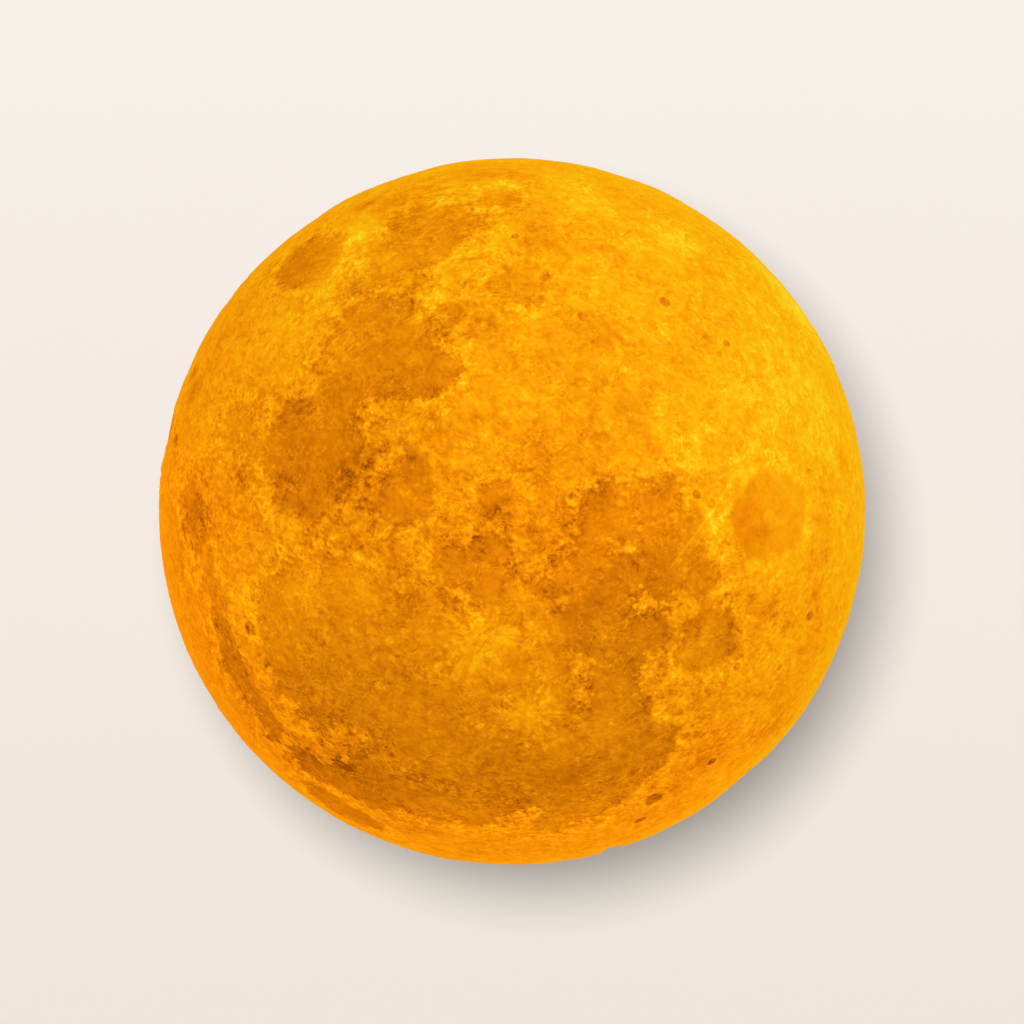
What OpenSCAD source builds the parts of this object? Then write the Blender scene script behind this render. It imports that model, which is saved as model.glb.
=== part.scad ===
// Moon lamp: a printed moon globe on a small round base, with a lit column inside.
// Millimetres, +Z up. The origin is the middle of the foot ring's underside, on the table.
// Seen from straight above, the globe's near side faces the viewer as in the real sky map,
// turned by map_turn, and +X is to the right.

/* [Globe] */
// Diameter of the moon globe
globe_d = 150; // [130:1:200]
// Wall of the printed shell
shell_wall = 1.8; // [1.4:0.1:2.6]
// Depth of the seas below the highlands
sea_depth = 0.5; // [0.3:0.05:0.7]
// Wall of the neck around the opening
neck_wall = 2; // [1.6:0.1:3]
// Height of the neck inside the globe
neck_h = 7; // [5:0.5:10]
// Turn of the map about the line of sight
map_turn = 110.4; // [0:0.1:360]
// Nod of the map towards the viewer
map_nod = -1.5; // [-8:0.5:8]
// Sway of the map to the side
map_sway = 4; // [-8:0.5:8]
// Craters on the side that rests on the base
far_count = 40; // [20:1:60]

/* [Base] */
// Diameter of the opening in the globe
mouth_d = 54; // [53:0.5:62]
// How far the touch ring stands out past the globe's cut edge
ring_lip = 2; // [1.2:0.1:4]
// Wall of the touch ring
ring_wall = 1.2; // [0.8:0.1:2]
// Thickness of the touch ring's clamped ledge
ledge_t = 1.5; // [1:0.1:2.5]
// Width of the touch ring's clamped ledge inside the neck
ledge_in = 2.6; // [2:0.1:3]
// Thickness of the bottom cover's rim
rim_t = 3.1; // [2.8:0.1:5]
// Depth of the round recess in the underside
recess_depth = 2; // [1.6:0.1:2.4]
// Thickness of the plate in the recess
plate_t = 2; // [1.6:0.1:3]
// Height of the foot ring
foot_h = 2; // [1.4:0.1:4]
// Width of the foot ring
foot_w = 2.8; // [2:0.1:3.4]
// Depth of the groove that holds the foot ring
groove_depth = 0.8; // [0.5:0.1:1.2]
// Thickness of the collar's flange
flange_t = 1.5; // [1.2:0.1:3]
// Height of the collar's tube inside the neck
tube_h = 7; // [5:0.5:12]
// Wall of the collar's tube
tube_wall = 1.8; // [1.4:0.1:2.2]

/* [Screws] */
// Shank diameter of the cover screws
cover_screw_d = 2.4; // [2:0.1:3]
// Length of the cover screws under the head
cover_screw_l = 8; // [6:0.5:10]
// Shank diameter of the board and lamp screws
small_screw_d = 1.7; // [1.4:0.1:2]
// Length of the board and lamp screws under the head
small_screw_l = 5; // [4:0.5:6]

/* [Column] */
// Outer diameter of the light column
column_d = 35; // [34.5:0.1:35.6]
// Wall of the light column
column_wall = 1.6; // [1.2:0.1:1.8]
// Room above the cell, under the top of the light column
cell_room = 4.1; // [3:0.1:8]
// Wall of the diffuser cap
cap_wall = 1.25; // [0.8:0.05:2]
// How far the cap's skirt reaches down over the column
skirt_h = 6; // [4:0.5:10]

/* [Battery] */
// Diameter of the cell
cell_d = 16.4; // [14:0.1:17]
// Length of the cell with its raised contact
cell_l = 34.4; // [30:0.1:35]
// Wall of the cup that holds the cell
cup_wall = 1.2; // [1:0.1:1.6]
// Depth of the cup
cup_h = 26; // [15:1:28]
// Thickness of the tray's floor
tray_t = 1.6; // [1.2:0.1:2.4]

/* [Electronics] */
// Thickness of both circuit boards
board_t = 1.6; // [1:0.1:2]
// Width of the charging socket
usb_w = 8.94; // [8.6:0.02:9.2]
// Thickness of the charging socket
usb_t = 3.16; // [3:0.02:3.4]
// Length of the charging socket
usb_l = 7.1; // [6.8:0.1:8]
// Diameter of the power button
button_d = 7.6; // [6:0.1:8]
// Travel of the power button
travel = 0.5; // [0.3:0.05:0.6]
// How far the button stands proud of the recess
button_proud = 0.8; // [0.4:0.1:1.2]
// Side of the push switch
switch_w = 6; // [5:0.1:6.2]
// Height of the push switch
switch_h = 3.5; // [3:0.1:3.8]
// Diameter of the switch's stem
stem_d = 3.4; // [2.5:0.1:4]
// Diameter of the indicator's light pipe
lens_d = 2.4; // [2:0.1:3]
// Diameter of the insulated leads
lead_d = 1.1; // [0.8:0.1:1.4]
// Thickness of the metal heat spreader
spreader_t = 1.5; // [1:0.1:2.5]
// Number of light chips around the middle one
chip_count = 6; // [4:1:8]

/* [Hidden] */
$fn = 96;

// Clearances
eps = 1;            // overshoot of every cut past the face that it opens
glue_gap = 0.2;     // round glued fit, on the radius
snug = 0.1;         // parts that drop into a seat, on the radius
thread_gap = 0.05;  // screw shank in its boss, on the radius
run_gap = 0.1;      // running fit, on the radius
free_gap = 0.3;     // least gap to anything that moves
hole_gap = 0.2;     // screw shank or head in its hole, on the radius
lead_gap = 0.2;     // bare room round a lead

// Heights, from the table up
usb_inset = 0.2;     // the socket's mouth lies this far inside the recess
tray_gap = 4.8;      // room for the chips and the plug above the control board
led_board_t = 1.2;
cover_z = foot_h - groove_depth;
recess_z = cover_z + recess_depth;
plate_z = recess_z + plate_t;
rim_z = cover_z + rim_t;
ledge_z = rim_z + ledge_t;
seat_z = ledge_z + flange_t;
board_z = recess_z + usb_inset + usb_l;
board_top = board_z + board_t;
tray_z = board_top + tray_gap;
cell_z = tray_z + tray_t;
cell_top = cell_z + cell_l;
column_top = cell_top + cell_room;
column_h = column_top - plate_z;
spreader_top = column_top + spreader_t;
led_top = spreader_top + led_board_t;

// The globe
globe_r = globe_d / 2;
mouth_r = mouth_d / 2;
cut_r = mouth_r + neck_wall;
cut_depth = sqrt(globe_r * globe_r - cut_r * cut_r);
globe_z = seat_z + cut_depth;
rim_share = 0.12;    // rim height of a crater as a share of its radius
bowl_share = 0.16;   // depth of a crater as a share of its radius
rim_least = 0.1;     // smallest rim height and bowl depth
rim_root = 1.2;      // how far a crater's rim reaches into the shell
rim_slope_share = 1.5;
rim_crest = 0.05;    // half width of a rim's crest
peak_angle = 2.4;    // craters from this angular radius up have a central peak
peak_root = 0.5;     // how far a central peak starts below its crater's floor
peak_foot_share = 0.3;
peak_top_share = 0.06;
peak_height_share = 0.6;
neck_keep_angle = 9; // kept clear of craters around the neck
far_edge_angle = 86; // from the bottom up to here the globe has the far side's craters
far_least_angle = 1.4;
far_more_angle = 2.6;
neck_inset = 0.1;    // the neck runs this far inside the shell's surface

// The base
ring_r = cut_r + ring_lip;
ring_drop = 0.6;     // how far the cover stands below the ring
ring_round = 1;
tab_l = 3.4;         // solder tab of the ring
tab_w = 4;
ledge_r = mouth_r - ledge_in;
cover_r = ring_r - ring_wall - glue_gap;
recess_r = 17.8;
recess_slant = 0.4;
cover_chamfer = 0.6;
raised_r = ledge_r - free_gap;
foot_edge = 1.2;     // land left outside the foot ring's groove
foot_r = cover_r - foot_edge - foot_w / 2;
foot_round = 0.5;
flange_r = ring_r - ring_round;
tube_r = mouth_r - glue_gap;
tube_in = tube_r - tube_wall;

// Screws
cover_head_r = 2.2;
cover_head_h = 1.3;
cover_sink = 1.6;    // depth of the screw heads' counterbores
cover_boss_r = 2.8;
cover_boss_floor = 2;
cover_boss_h = cover_screw_l + cover_boss_floor;
pilot_gap = 0.4;     // how far a screw hole runs past the screw's tip
small_head_r = 1.8;
small_head_h = 1.2;
standoff_r = 2;
standoff_pcd_r = 12.8;
COVER_SCREW_ANGLES = [90, 210, 330];
BOARD_SCREW_ANGLES = [30, 150, 270];
PILLAR_ANGLES = [90, 270];

// The column and what stands in it
column_r = column_d / 2;
boss_gap = 0.7;      // between the column and the collar's bosses
cover_pcd_r = column_r + boss_gap + cover_boss_r;
column_in = column_r - column_wall;
spigot_r = column_in - glue_gap;
spigot_wall = 1.4;
spigot_h = 4;
SNAP_ANGLES = [60, 180, 300];
snap_w = 5.4;
snap_rise = 1.8;     // height of the snaps above the plate
snap_z = plate_z + snap_rise;
snap_h = 1.4;
snap_short = 0.6;    // how far the snaps stay inside the column's face
notch_angle = 240;   // direction of the notch for the touch lead
notch_w = 3.6;
notch_h = 3.6;
shelf_w = 1.4;
shelf_t = 1.2;
bead_r = 0.45;
bead_z = column_top - skirt_h / 2;
cap_gap = 0.15;      // round the column, inside the cap's skirt
cap_rise = 2;        // from the heat spreader up to the dome's centre
cap_shoulder = 1;    // ledge inside the cap, on the heat spreader's edge
cap_in = column_r + cap_gap;
cap_r = cap_in + cap_wall;
cap_z = spreader_top + cap_rise;
tray_r = column_in - glue_gap;
cup_in = cell_d / 2 + snug;
cup_r = cup_in + cup_wall;
pillar_r = 2.2;
web_t = 1.4;
web_lap = 0.5;       // how far a web runs into the wall that it stands on
lead_hole_r = 2;
lead_hole_at = 12.6;
cell_edge = 0.4;
contact_r = 3;
contact_h = 0.8;
pad_r = 7.6;
pad_slot = 3;

// Electronics
board_gap = 0.5;     // round the control board
board_r = column_in - board_gap;
usb_x = 7;
usb_wall = 0.3;
usb_gap = 0.18;      // gap round the socket in the cover's slot
tongue_w = 6.69;
tongue_t = 0.7;
tongue_back = 2.1;
tongue_gap = 0.02;   // round the tongue's root inside the shell
tongue_inset = 0.6;  // the tongue's tip lies this far inside the socket's mouth
button_x = -8;
switch_z = board_z - switch_h;
flange_top = switch_z - travel - free_gap;
button_flange = 0.8;
button_round = 0.4;
switch_roof = 0.5;   // wall above the stem's bore
stem_gap = 0.5;      // left above the pressed stem
stem_h = switch_h - switch_roof + free_gap - stem_gap;
lens_y = 9.5;
pipe_flange_r = 1.9;
pipe_flange_h = 0.8;
indicator_h = 0.8;
indicator_w = 1.6;
plug = [6, 3.6, 3.6];
plug_at = [3, 9];
plug_pitch = 1.8;
led_board_r = 14.5;
led_pcd_r = 8;
led_chip = [3, 3, 0.8];
led_hole_at = 11.6;
led_hole_r = 1.7;

// Seas of the near side, then a few of the far side. Each row is a round patch of sea floor:
// latitude, longitude and angular radius in degrees. Patches overlap to give the coasts.
SEAS = [
    // sea of showers and the bay on its shore
    [35, -17, 15.5], [44, -22, 7], [42, -8, 7], [44.5, -31.5, 4.5],
    // sea of cold
    [56, -38, 4.6], [60, -27, 3.5], [62, -17, 3.5], [60, -6, 3.6], [58, 5, 3.8], [57, 16, 3.6],
    [57, 26, 3.5], [55, 38, 2.4],
    // ocean of storms
    [51, -52, 6], [40, -54, 6.5], [36, -48, 6], [46, -71, 5], [30, -56, 8.2], [22, -57, 5.8],
    [15, -53, 8], [6, -53, 7.4], [-1, -51, 7], [-6, -44, 6.5], [25, -40, 9], [17, -36, 7],
    // known sea and the sea of islands
    [-10, -24, 5.5], [-8, -32, 6.6], [-14, -11, 3], [5, -14, 5], [10, -9, 4],
    // sea of clouds and sea of moisture
    [-20, -23, 5.8], [-24, -15, 6.5], [-27, -20, 4.5], [-24.5, -39, 6],
    // seas of vapours, serenity and tranquillity
    [14, 4.5, 5], [27, 19, 10.2], [38, 31, 3.6], [8, 27, 8], [4, 22, 5], [14, 34, 6], [6, 36, 5],
    // seas of fertility, nectar and crises
    [-2, 49, 7], [3, 48, 5], [-9, 52, 5], [-15, 34, 4.5], [16, 59, 6.5],
    // small seas near the far side
    [57, 81, 4], [-2, 87, 5], [14, 87, 4], [-20, -94, 5]
];

// Craters of the near side: latitude, longitude, angular radius in degrees, and 1 where the
// crater stands on a sea floor.
CRATERS = [
    // craters with bright rays
    [-43.3, -11.4, 2, 0], [9.6, -20, 1.9, 1], [8.1, -38, 1.1, 1], [23.7, -47.4, 1.1, 1],
    // north
    [51.6, -9.4, 1.8, 0], [49.6, 17.4, 1.6, 0], [44.3, 16.3, 1.2, 0], [46.7, 44.4, 1.5, 0],
    [53.6, 56.5, 2, 0], [31.8, 29.9, 1.6, 0], [29.7, -4, 1.4, 1], [33.9, 1.2, 1, 1],
    [27.7, 56, 2.1, 0], [72, 24, 2.4, 0], [70, -50, 2.2, 0], [16, 78, 2, 0],
    // middle
    [14.5, -11.3, 1.1, 1], [-5.3, -68, 2.6, 0], [-5.5, 5, 2.4, 0], [-11.2, 4, 2.2, 0],
    [-9.2, -1.8, 2.4, 0], [-13.4, -2.8, 1.8, 0], [-18.2, -1.9, 1.6, 0], [-17.6, -40, 1.8, 0],
    [-11.4, 26.4, 1.8, 0], [-14, 22.6, 1.4, 0], [-18, 24, 1.6, 0], [-8.9, 61, 2.1, 0],
    // south
    [-25.3, 60.4, 2.8, 0], [-36, 62, 2.2, 0], [-32.5, -5.5, 3.4, 0], [-30, 5, 2, 0],
    [-41.1, 6, 2.1, 0], [-42.5, 15, 2, 0], [-45, 40, 3, 0], [-50.2, -22, 2.3, 0],
    [-50.5, -4.5, 2.6, 0], [-58.4, -14.4, 3.6, 0], [-44.4, -54.6, 3.3, 0], [-34, -58, 2, 0],
    [-66, 12, 2.8, 0], [-70, -32, 2.6, 0], [-27, 28, 2.2, 0], [-56, 26, 2.4, 0]
];

// Ratio that spreads points evenly round a circle
golden_angle = 180 * (3 - sqrt(5));

// Points its child's +Z axis at a place on the map
module at_place(lat, lon) {
    rotate([0, 0, map_turn])
        rotate([map_nod, 0, 0])
            rotate([0, map_sway, 0])
                rotate([-lat, lon, 0])
                    children();
}

// Points its child's +Z axis at crater number i of the far side, spread evenly from the neck
// to the edge of the near side
module at_far_place(i) {
    from = cos(asin(cut_r / globe_r) + neck_keep_angle);
    to = cos(far_edge_angle);
    fall = acos(from + (to - from) * (i + 0.5) / far_count);
    rotate([0, 0, i * golden_angle])
        rotate([180 - fall, 0, 0])
            children();
}

// The cone that carries a crater's rim. size is the crater's angular radius and level the
// radius of the ground that it stands on.
module crater_rim(size, level) {
    r = level * sin(size);
    rise = rim_share * r + rim_least;
    root = rim_root + level * (1 - cos(size));
    translate([0, 0, level - root])
        cylinder(r1 = r + rim_slope_share * root, r2 = r + rim_crest,
                 h = root + rise - level * (1 - cos(size)));
}

// The ball that hollows a crater's bowl out. A large crater keeps a hill in its middle.
module crater_bowl(size, level) {
    r = level * sin(size);
    drop = bowl_share * r + rim_least;
    floor_z = level - drop;
    crest_z = level * cos(size) + rim_share * r + rim_least;
    sag = crest_z - floor_z;
    ball = (r * r + sag * sag) / (2 * sag);
    difference() {
        translate([0, 0, floor_z + ball])
            sphere(ball);
        if (size >= peak_angle) {
            translate([0, 0, floor_z - peak_root])
                cylinder(r1 = r * peak_foot_share, r2 = r * peak_top_share,
                         h = peak_root + drop * peak_height_share);
        }
    }
}

function ground(sea) = globe_r - sea * sea_depth;

// Sizes of the far side's craters: many small ones and a few large ones
far_sizes = [for (v = rands(0, 1, far_count, 17)) far_least_angle + far_more_angle * v * v];

module sea_patches() {
    for (sea = SEAS) {
        at_place(sea[0], sea[1])
            translate([0, 0, globe_r * cos(sea[2]) - eps])
                cylinder(r = globe_r * sin(sea[2]), h = globe_r * (1 - cos(sea[2])) + 2 * eps);
    }
}

// The ball with its seas sunk in
module ground_ball() {
    sphere(globe_r - sea_depth);
    difference() {
        sphere(globe_r);
        sea_patches();
    }
}

module moon_shell() {
    difference() {
        union() {
            ground_ball();
            for (c = CRATERS) {
                at_place(c[0], c[1]) crater_rim(c[2], ground(c[3]));
            }
            for (i = [0 : far_count - 1]) {
                at_far_place(i) crater_rim(far_sizes[i], globe_r);
            }
        }
        for (c = CRATERS) {
            at_place(c[0], c[1]) crater_bowl(c[2], ground(c[3]));
        }
        for (i = [0 : far_count - 1]) {
            at_far_place(i) crater_bowl(far_sizes[i], globe_r);
        }
        sphere(globe_r - shell_wall);
        translate([0, 0, -globe_r - eps])
            cylinder(r = globe_r, h = globe_r + eps - cut_depth);
        translate([0, 0, -globe_r])
            cylinder(r = mouth_r, h = globe_r / 2);
    }
}

// The neck runs a little inside the shell's wall, so that it doesn't show outside
module globe_neck() {
    translate([0, 0, -cut_depth]) {
        difference() {
            cylinder(r = cut_r - neck_inset, h = neck_h);
            translate([0, 0, -eps])
                cylinder(r = mouth_r, h = neck_h + 2 * eps);
        }
    }
}

module moon_globe() {
    color("orange") {
        translate([0, 0, globe_z]) {
            moon_shell();
            globe_neck();
        }
    }
}

// A ring of rectangular section
module tube(outer, inner, h) {
    difference() {
        cylinder(r = outer, h = h);
        translate([0, 0, -eps])
            cylinder(r = inner, h = h + 2 * eps);
    }
}

// Copies its child to each of the given directions, at a radius
module around(directions, radius) {
    for (a = directions) {
        rotate([0, 0, a])
            translate([radius, 0, 0])
                children();
    }
}

// A pan head screw that stands on z = 0 with its head below
module screw(shank_r, length, head_r, head_h) {
    rotate_extrude() {
        polygon([
            [0, -head_h], [head_r * 0.75, -head_h], [head_r, -head_h * 0.55], [head_r, 0],
            [shank_r, 0], [shank_r, length - shank_r], [shank_r * 0.3, length], [0, length]
        ]);
    }
}

module globe_collar() {
    color("white") {
        translate([0, 0, ledge_z]) {
            tube(flange_r, tube_in, flange_t);
            tube(tube_r, tube_in, flange_t + tube_h);
        }
        difference() {
            union() {
                around(COVER_SCREW_ANGLES, cover_pcd_r)
                    translate([0, 0, plate_z])
                        cylinder(r = cover_boss_r, h = cover_boss_h);
                // webs that join the bosses to the tube
                around(COVER_SCREW_ANGLES, (cover_pcd_r + tube_in + tube_wall / 2) / 2)
                    translate([0, 0, ledge_z + cover_screw_l / 2])
                        cube([tube_in + tube_wall / 2 - cover_pcd_r, 2 * web_t, cover_screw_l], true);
            }
            around(COVER_SCREW_ANGLES, cover_pcd_r)
                translate([0, 0, plate_z - eps])
                    cylinder(r = cover_screw_d / 2 + thread_gap, h = cover_screw_l + eps);
        }
    }
}

// An angle section: the skirt that is touched, and the ledge that the collar clamps
module touch_ring() {
    skirt_z = cover_z + ring_drop;
    color("silver") {
        rotate_extrude() {
            translate([ledge_r, rim_z])
                square([ring_r - ring_round - ledge_r, ledge_t]);
            translate([ring_r - ring_wall, skirt_z + ring_wall / 2])
                square([ring_wall, ledge_z - ring_round - skirt_z - ring_wall / 2]);
            translate([ring_r - ring_wall / 2, skirt_z + ring_wall / 2])
                circle(d = ring_wall);
            intersection() {
                translate([ring_r - ring_round, ledge_z - ring_round])
                    circle(r = ring_round);
                translate([ring_r - ring_round, ledge_z - ring_round])
                    square(ring_round);
            }
        }
        // solder tab for the touch lead
        rotate([0, 0, notch_angle])
            translate([ledge_r - tab_l, -tab_w / 2, plate_z])
                cube([tab_l + eps, tab_w, ledge_z - plate_z]);
    }
}

module cover_blank() {
    rotate_extrude() {
        polygon([
            [0, recess_z], [recess_r, recess_z], [recess_r + recess_slant, cover_z],
            [cover_r - cover_chamfer, cover_z], [cover_r, cover_z + cover_chamfer],
            [cover_r, rim_z],
            [raised_r, rim_z], [raised_r, plate_z], [0, plate_z]
        ]);
    }
}

// A stadium outline, w long along Y and t across
module stadium(w, t) {
    translate([0, (w - t) / 2])
        circle(d = t);
    translate([0, (t - w) / 2])
        circle(d = t);
    square([t, w - t], center = true);
}

module snap_blocks(grow) {
    intersection() {
        translate([0, 0, snap_z - grow])
            tube(column_r - snap_short + 2 * grow, spigot_r - spigot_wall / 2, snap_h + 2 * grow);
        for (a = SNAP_ANGLES) {
            rotate([0, 0, a])
                translate([0, -snap_w / 2 - grow, 0])
                    cube([column_d, snap_w + 2 * grow, column_h]);
        }
    }
}

module bottom_cover() {
    color("white") {
        difference() {
            union() {
                cover_blank();
                translate([0, 0, plate_z])
                    tube(spigot_r, spigot_r - spigot_wall, spigot_h);
                around(BOARD_SCREW_ANGLES, standoff_pcd_r)
                    translate([0, 0, plate_z - eps])
                        cylinder(r = standoff_r, h = board_z - plate_z + eps);
                snap_blocks(0);
            }
            // groove for the foot ring
            translate([0, 0, cover_z - eps])
                tube(foot_r + foot_w / 2 + snug, foot_r - foot_w / 2 - snug, groove_depth + eps);
            around(COVER_SCREW_ANGLES, cover_pcd_r) {
                translate([0, 0, cover_z - eps])
                    cylinder(r = cover_head_r + hole_gap, h = cover_sink + eps);
                translate([0, 0, cover_z])
                    cylinder(r = cover_screw_d / 2 + hole_gap, h = plate_z);
            }
            around(BOARD_SCREW_ANGLES, standoff_pcd_r)
                translate([0, 0, board_top - small_screw_l - pilot_gap])
                    cylinder(r = small_screw_d / 2 + thread_gap, h = small_screw_l);
            // slot for the charging socket
            translate([usb_x, 0, recess_z - eps])
                linear_extrude(plate_t + 2 * eps)
                    stadium(usb_w + 2 * usb_gap, usb_t + 2 * usb_gap);
            // hole for the power button
            translate([button_x, 0, recess_z - eps])
                cylinder(r = button_d / 2 + free_gap, h = plate_t + 2 * eps);
            // hole for the indicator
            translate([0, lens_y, recess_z - eps])
                cylinder(r = lens_d / 2 + snug, h = plate_t + 2 * eps);
            // notch for the touch lead
            rotate([0, 0, notch_angle])
                translate([standoff_pcd_r, -notch_w / 2, plate_z])
                    cube([column_r - standoff_pcd_r, notch_w, spigot_h + eps]);
        }
    }
}

module foot_ring() {
    color("dimgray") {
        rotate_extrude() {
            translate([foot_r, 0]) {
                translate([-foot_w / 2, foot_round])
                    square([foot_w, foot_h - foot_round]);
                square_w = foot_w / 2 - foot_round;
                translate([-square_w, 0])
                    square([2 * square_w, foot_h]);
                for (side = [-1, 1]) {
                    translate([side * square_w, foot_round])
                        circle(r = foot_round);
                }
            }
        }
    }
}

module cover_screws() {
    color("silver") {
        around(COVER_SCREW_ANGLES, cover_pcd_r)
            translate([0, 0, cover_z + cover_sink])
                screw(cover_screw_d / 2, cover_screw_l, cover_head_r, cover_head_h);
    }
}

module light_column() {
    color("white") {
        difference() {
            union() {
                translate([0, 0, plate_z])
                    tube(column_r, column_in, column_h);
                // shelf that the battery tray stands on
                translate([0, 0, tray_z - shelf_t])
                    tube(column_in + column_wall / 2, column_in - shelf_w, shelf_t);
            }
            snap_blocks(snug);
            rotate([0, 0, notch_angle])
                translate([column_in - shelf_w, -notch_w / 2, plate_z - eps])
                    cube([2 * column_wall + shelf_w, notch_w, notch_h + eps]);
            translate([0, 0, bead_z])
                rotate_extrude()
                    translate([cap_in, 0])
                        circle(r = bead_r + snug);
        }
    }
}

module control_board() {
    color("darkgreen") {
        difference() {
            translate([0, 0, board_z])
                cylinder(r = board_r, h = board_t);
            around(BOARD_SCREW_ANGLES, standoff_pcd_r)
                translate([0, 0, board_z - eps])
                    cylinder(r = small_screw_d / 2 + hole_gap, h = board_t + 2 * eps);
        }
    }
}

module board_screws() {
    color("silver") {
        around(BOARD_SCREW_ANGLES, standoff_pcd_r)
            translate([0, 0, board_top])
                mirror([0, 0, 1])
                    screw(small_screw_d / 2, small_screw_l, small_head_r, small_head_h);
    }
}

// Chips on the control board's upper side: place and size
BOARD_CHIPS = [
    [[1.5, -4], [3.9, 4.9, 1.5]],    // charger
    [[-7.5, -3.5], [1.6, 2.9, 1.1]], // touch sensor
    [[-5, 3], [4, 4, 2]],            // coil
    [[-4, -8.5], [4.5, 2.5, 1.5]],   // lamp driver
    [[-1, 7.5], [1.2, 2, 1]],        // capacitors
    [[-8.2, 6.5], [1.2, 2, 1]],
    [[6.5, -7], [2, 1.2, 1]]
];

module board_chips() {
    color("black") {
        for (chip = BOARD_CHIPS) {
            translate([chip[0][0], chip[0][1], board_top + chip[1][2] / 2])
                cube(chip[1], center = true);
        }
    }
}

module usb_shell() {
    color("silver") {
        translate([usb_x, 0, board_z - usb_l]) {
            linear_extrude(usb_l) {
                difference() {
                    stadium(usb_w, usb_t);
                    stadium(usb_w - 2 * usb_wall, usb_t - 2 * usb_wall);
                }
            }
        }
    }
}

module usb_tongue() {
    inside = 2 * (usb_wall + tongue_gap);
    color("black") {
        translate([usb_x, 0, board_z]) {
            translate([0, 0, -tongue_back])
                linear_extrude(tongue_back)
                    stadium(usb_w - inside, usb_t - inside);
            translate([-tongue_t / 2, -tongue_w / 2, tongue_inset - usb_l])
                cube([tongue_t, tongue_w, usb_l - tongue_inset]);
        }
    }
}

module switch_body() {
    color("black") {
        difference() {
            translate([button_x - switch_w / 2, -switch_w / 2, switch_z])
                cube([switch_w, switch_w, switch_h]);
            translate([button_x, 0, switch_z - eps])
                cylinder(r = stem_d / 2 + run_gap, h = switch_h - switch_roof + eps);
        }
    }
}

module switch_stem() {
    color("gainsboro") {
        translate([button_x, 0, flange_top])
            cylinder(d = stem_d, h = stem_h);
    }
}

// A cap with a rounded lower edge and a flange that keeps it in the cover
module power_button() {
    tip_z = recess_z - button_proud;
    color("dimgray") {
        translate([button_x, 0, 0]) {
            rotate_extrude() {
                translate([0, tip_z])
                    square([button_d / 2 - button_round, flange_top - tip_z]);
                translate([0, tip_z + button_round])
                    square([button_d / 2, flange_top - tip_z - button_round]);
                translate([button_d / 2 - button_round, tip_z + button_round])
                    circle(r = button_round);
                translate([0, plate_z + free_gap])
                    square([button_d / 2 + button_flange, flange_top - plate_z - free_gap]);
            }
        }
    }
}

module indicator_lens() {
    color("lightgray") {
        translate([0, lens_y, 0]) {
            translate([0, 0, recess_z])
                cylinder(d = lens_d, h = board_z - indicator_h - free_gap - recess_z);
            translate([0, 0, plate_z])
                cylinder(r = pipe_flange_r, h = pipe_flange_h);
        }
    }
}

module indicator_led() {
    color("white") {
        translate([-indicator_w / 2, lens_y - indicator_w / 2, board_z - indicator_h])
            cube([indicator_w, indicator_w, indicator_h]);
    }
}

module battery_tray() {
    pillar_h = column_top - tray_z;
    color("white") {
        difference() {
            union() {
                translate([0, 0, tray_z])
                    cylinder(r = tray_r, h = tray_t);
                translate([0, 0, tray_z])
                    cylinder(r = cup_r, h = tray_t + cup_h);
                around(PILLAR_ANGLES, standoff_pcd_r)
                    translate([0, 0, tray_z])
                        cylinder(r = pillar_r, h = pillar_h);
                // webs from the cup to the pillars
                around(PILLAR_ANGLES, cup_r - web_lap)
                    translate([0, -web_t / 2, tray_z])
                        cube([standoff_pcd_r - cup_r, web_t, tray_t + cup_h]);
            }
            translate([0, 0, cell_z])
                cylinder(r = cup_in, h = cup_h + eps);
            // holes for the leads, and the slot where the lower lead leaves the cup
            around([0, 180], lead_hole_at)
                translate([0, 0, tray_z - eps])
                    cylinder(r = lead_hole_r, h = tray_t + 2 * eps);
            translate([cup_in - eps, -pad_slot / 2, cell_z])
                cube([cup_wall + 2 * eps, pad_slot, pad_slot]);
            around(PILLAR_ANGLES, standoff_pcd_r)
                translate([0, 0, column_top - small_screw_l])
                    cylinder(r = small_screw_d / 2 + thread_gap, h = small_screw_l + eps);
        }
    }
}

module battery_cell() {
    color("steelblue") {
        translate([0, 0, cell_z]) {
            rotate_extrude() {
                polygon([
                    [0, 0], [cell_d / 2 - cell_edge, 0], [cell_d / 2, cell_edge],
                    [cell_d / 2, cell_l - contact_h - cell_edge],
                    [cell_d / 2 - cell_edge, cell_l - contact_h],
                    [contact_r, cell_l - contact_h], [contact_r, cell_l], [0, cell_l]
                ]);
            }
        }
    }
}

// Foam ring between the cell and the heat spreader, with a slot for the upper lead
module cell_pad() {
    pad_z = cell_top - contact_h;
    color("darkgray") {
        difference() {
            translate([0, 0, pad_z])
                tube(pad_r, contact_r + free_gap, column_top - pad_z);
            translate([0, -pad_slot / 2, pad_z - eps])
                cube([pad_r + eps, pad_slot, column_h]);
        }
    }
}

module battery_plug() {
    color("ivory") {
        translate([plug_at[0] - plug[0] / 2, plug_at[1] - plug[1] / 2, board_top])
            cube(plug);
    }
}

module spreader_holes(z, t) {
    around(PILLAR_ANGLES, standoff_pcd_r)
        translate([0, 0, z - eps])
            cylinder(r = small_screw_d / 2 + hole_gap, h = t + 2 * eps);
    translate([-led_hole_at, 0, z - eps])
        cylinder(r = led_hole_r, h = t + 2 * eps);
}

module heat_spreader() {
    color("lightgray") {
        difference() {
            translate([0, 0, column_top])
                cylinder(r = column_r - snug, h = spreader_t);
            spreader_holes(column_top, spreader_t);
        }
    }
}

module led_board() {
    color("white") {
        difference() {
            translate([0, 0, spreader_top])
                cylinder(r = led_board_r, h = led_board_t);
            spreader_holes(spreader_top, led_board_t);
        }
    }
}

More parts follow.
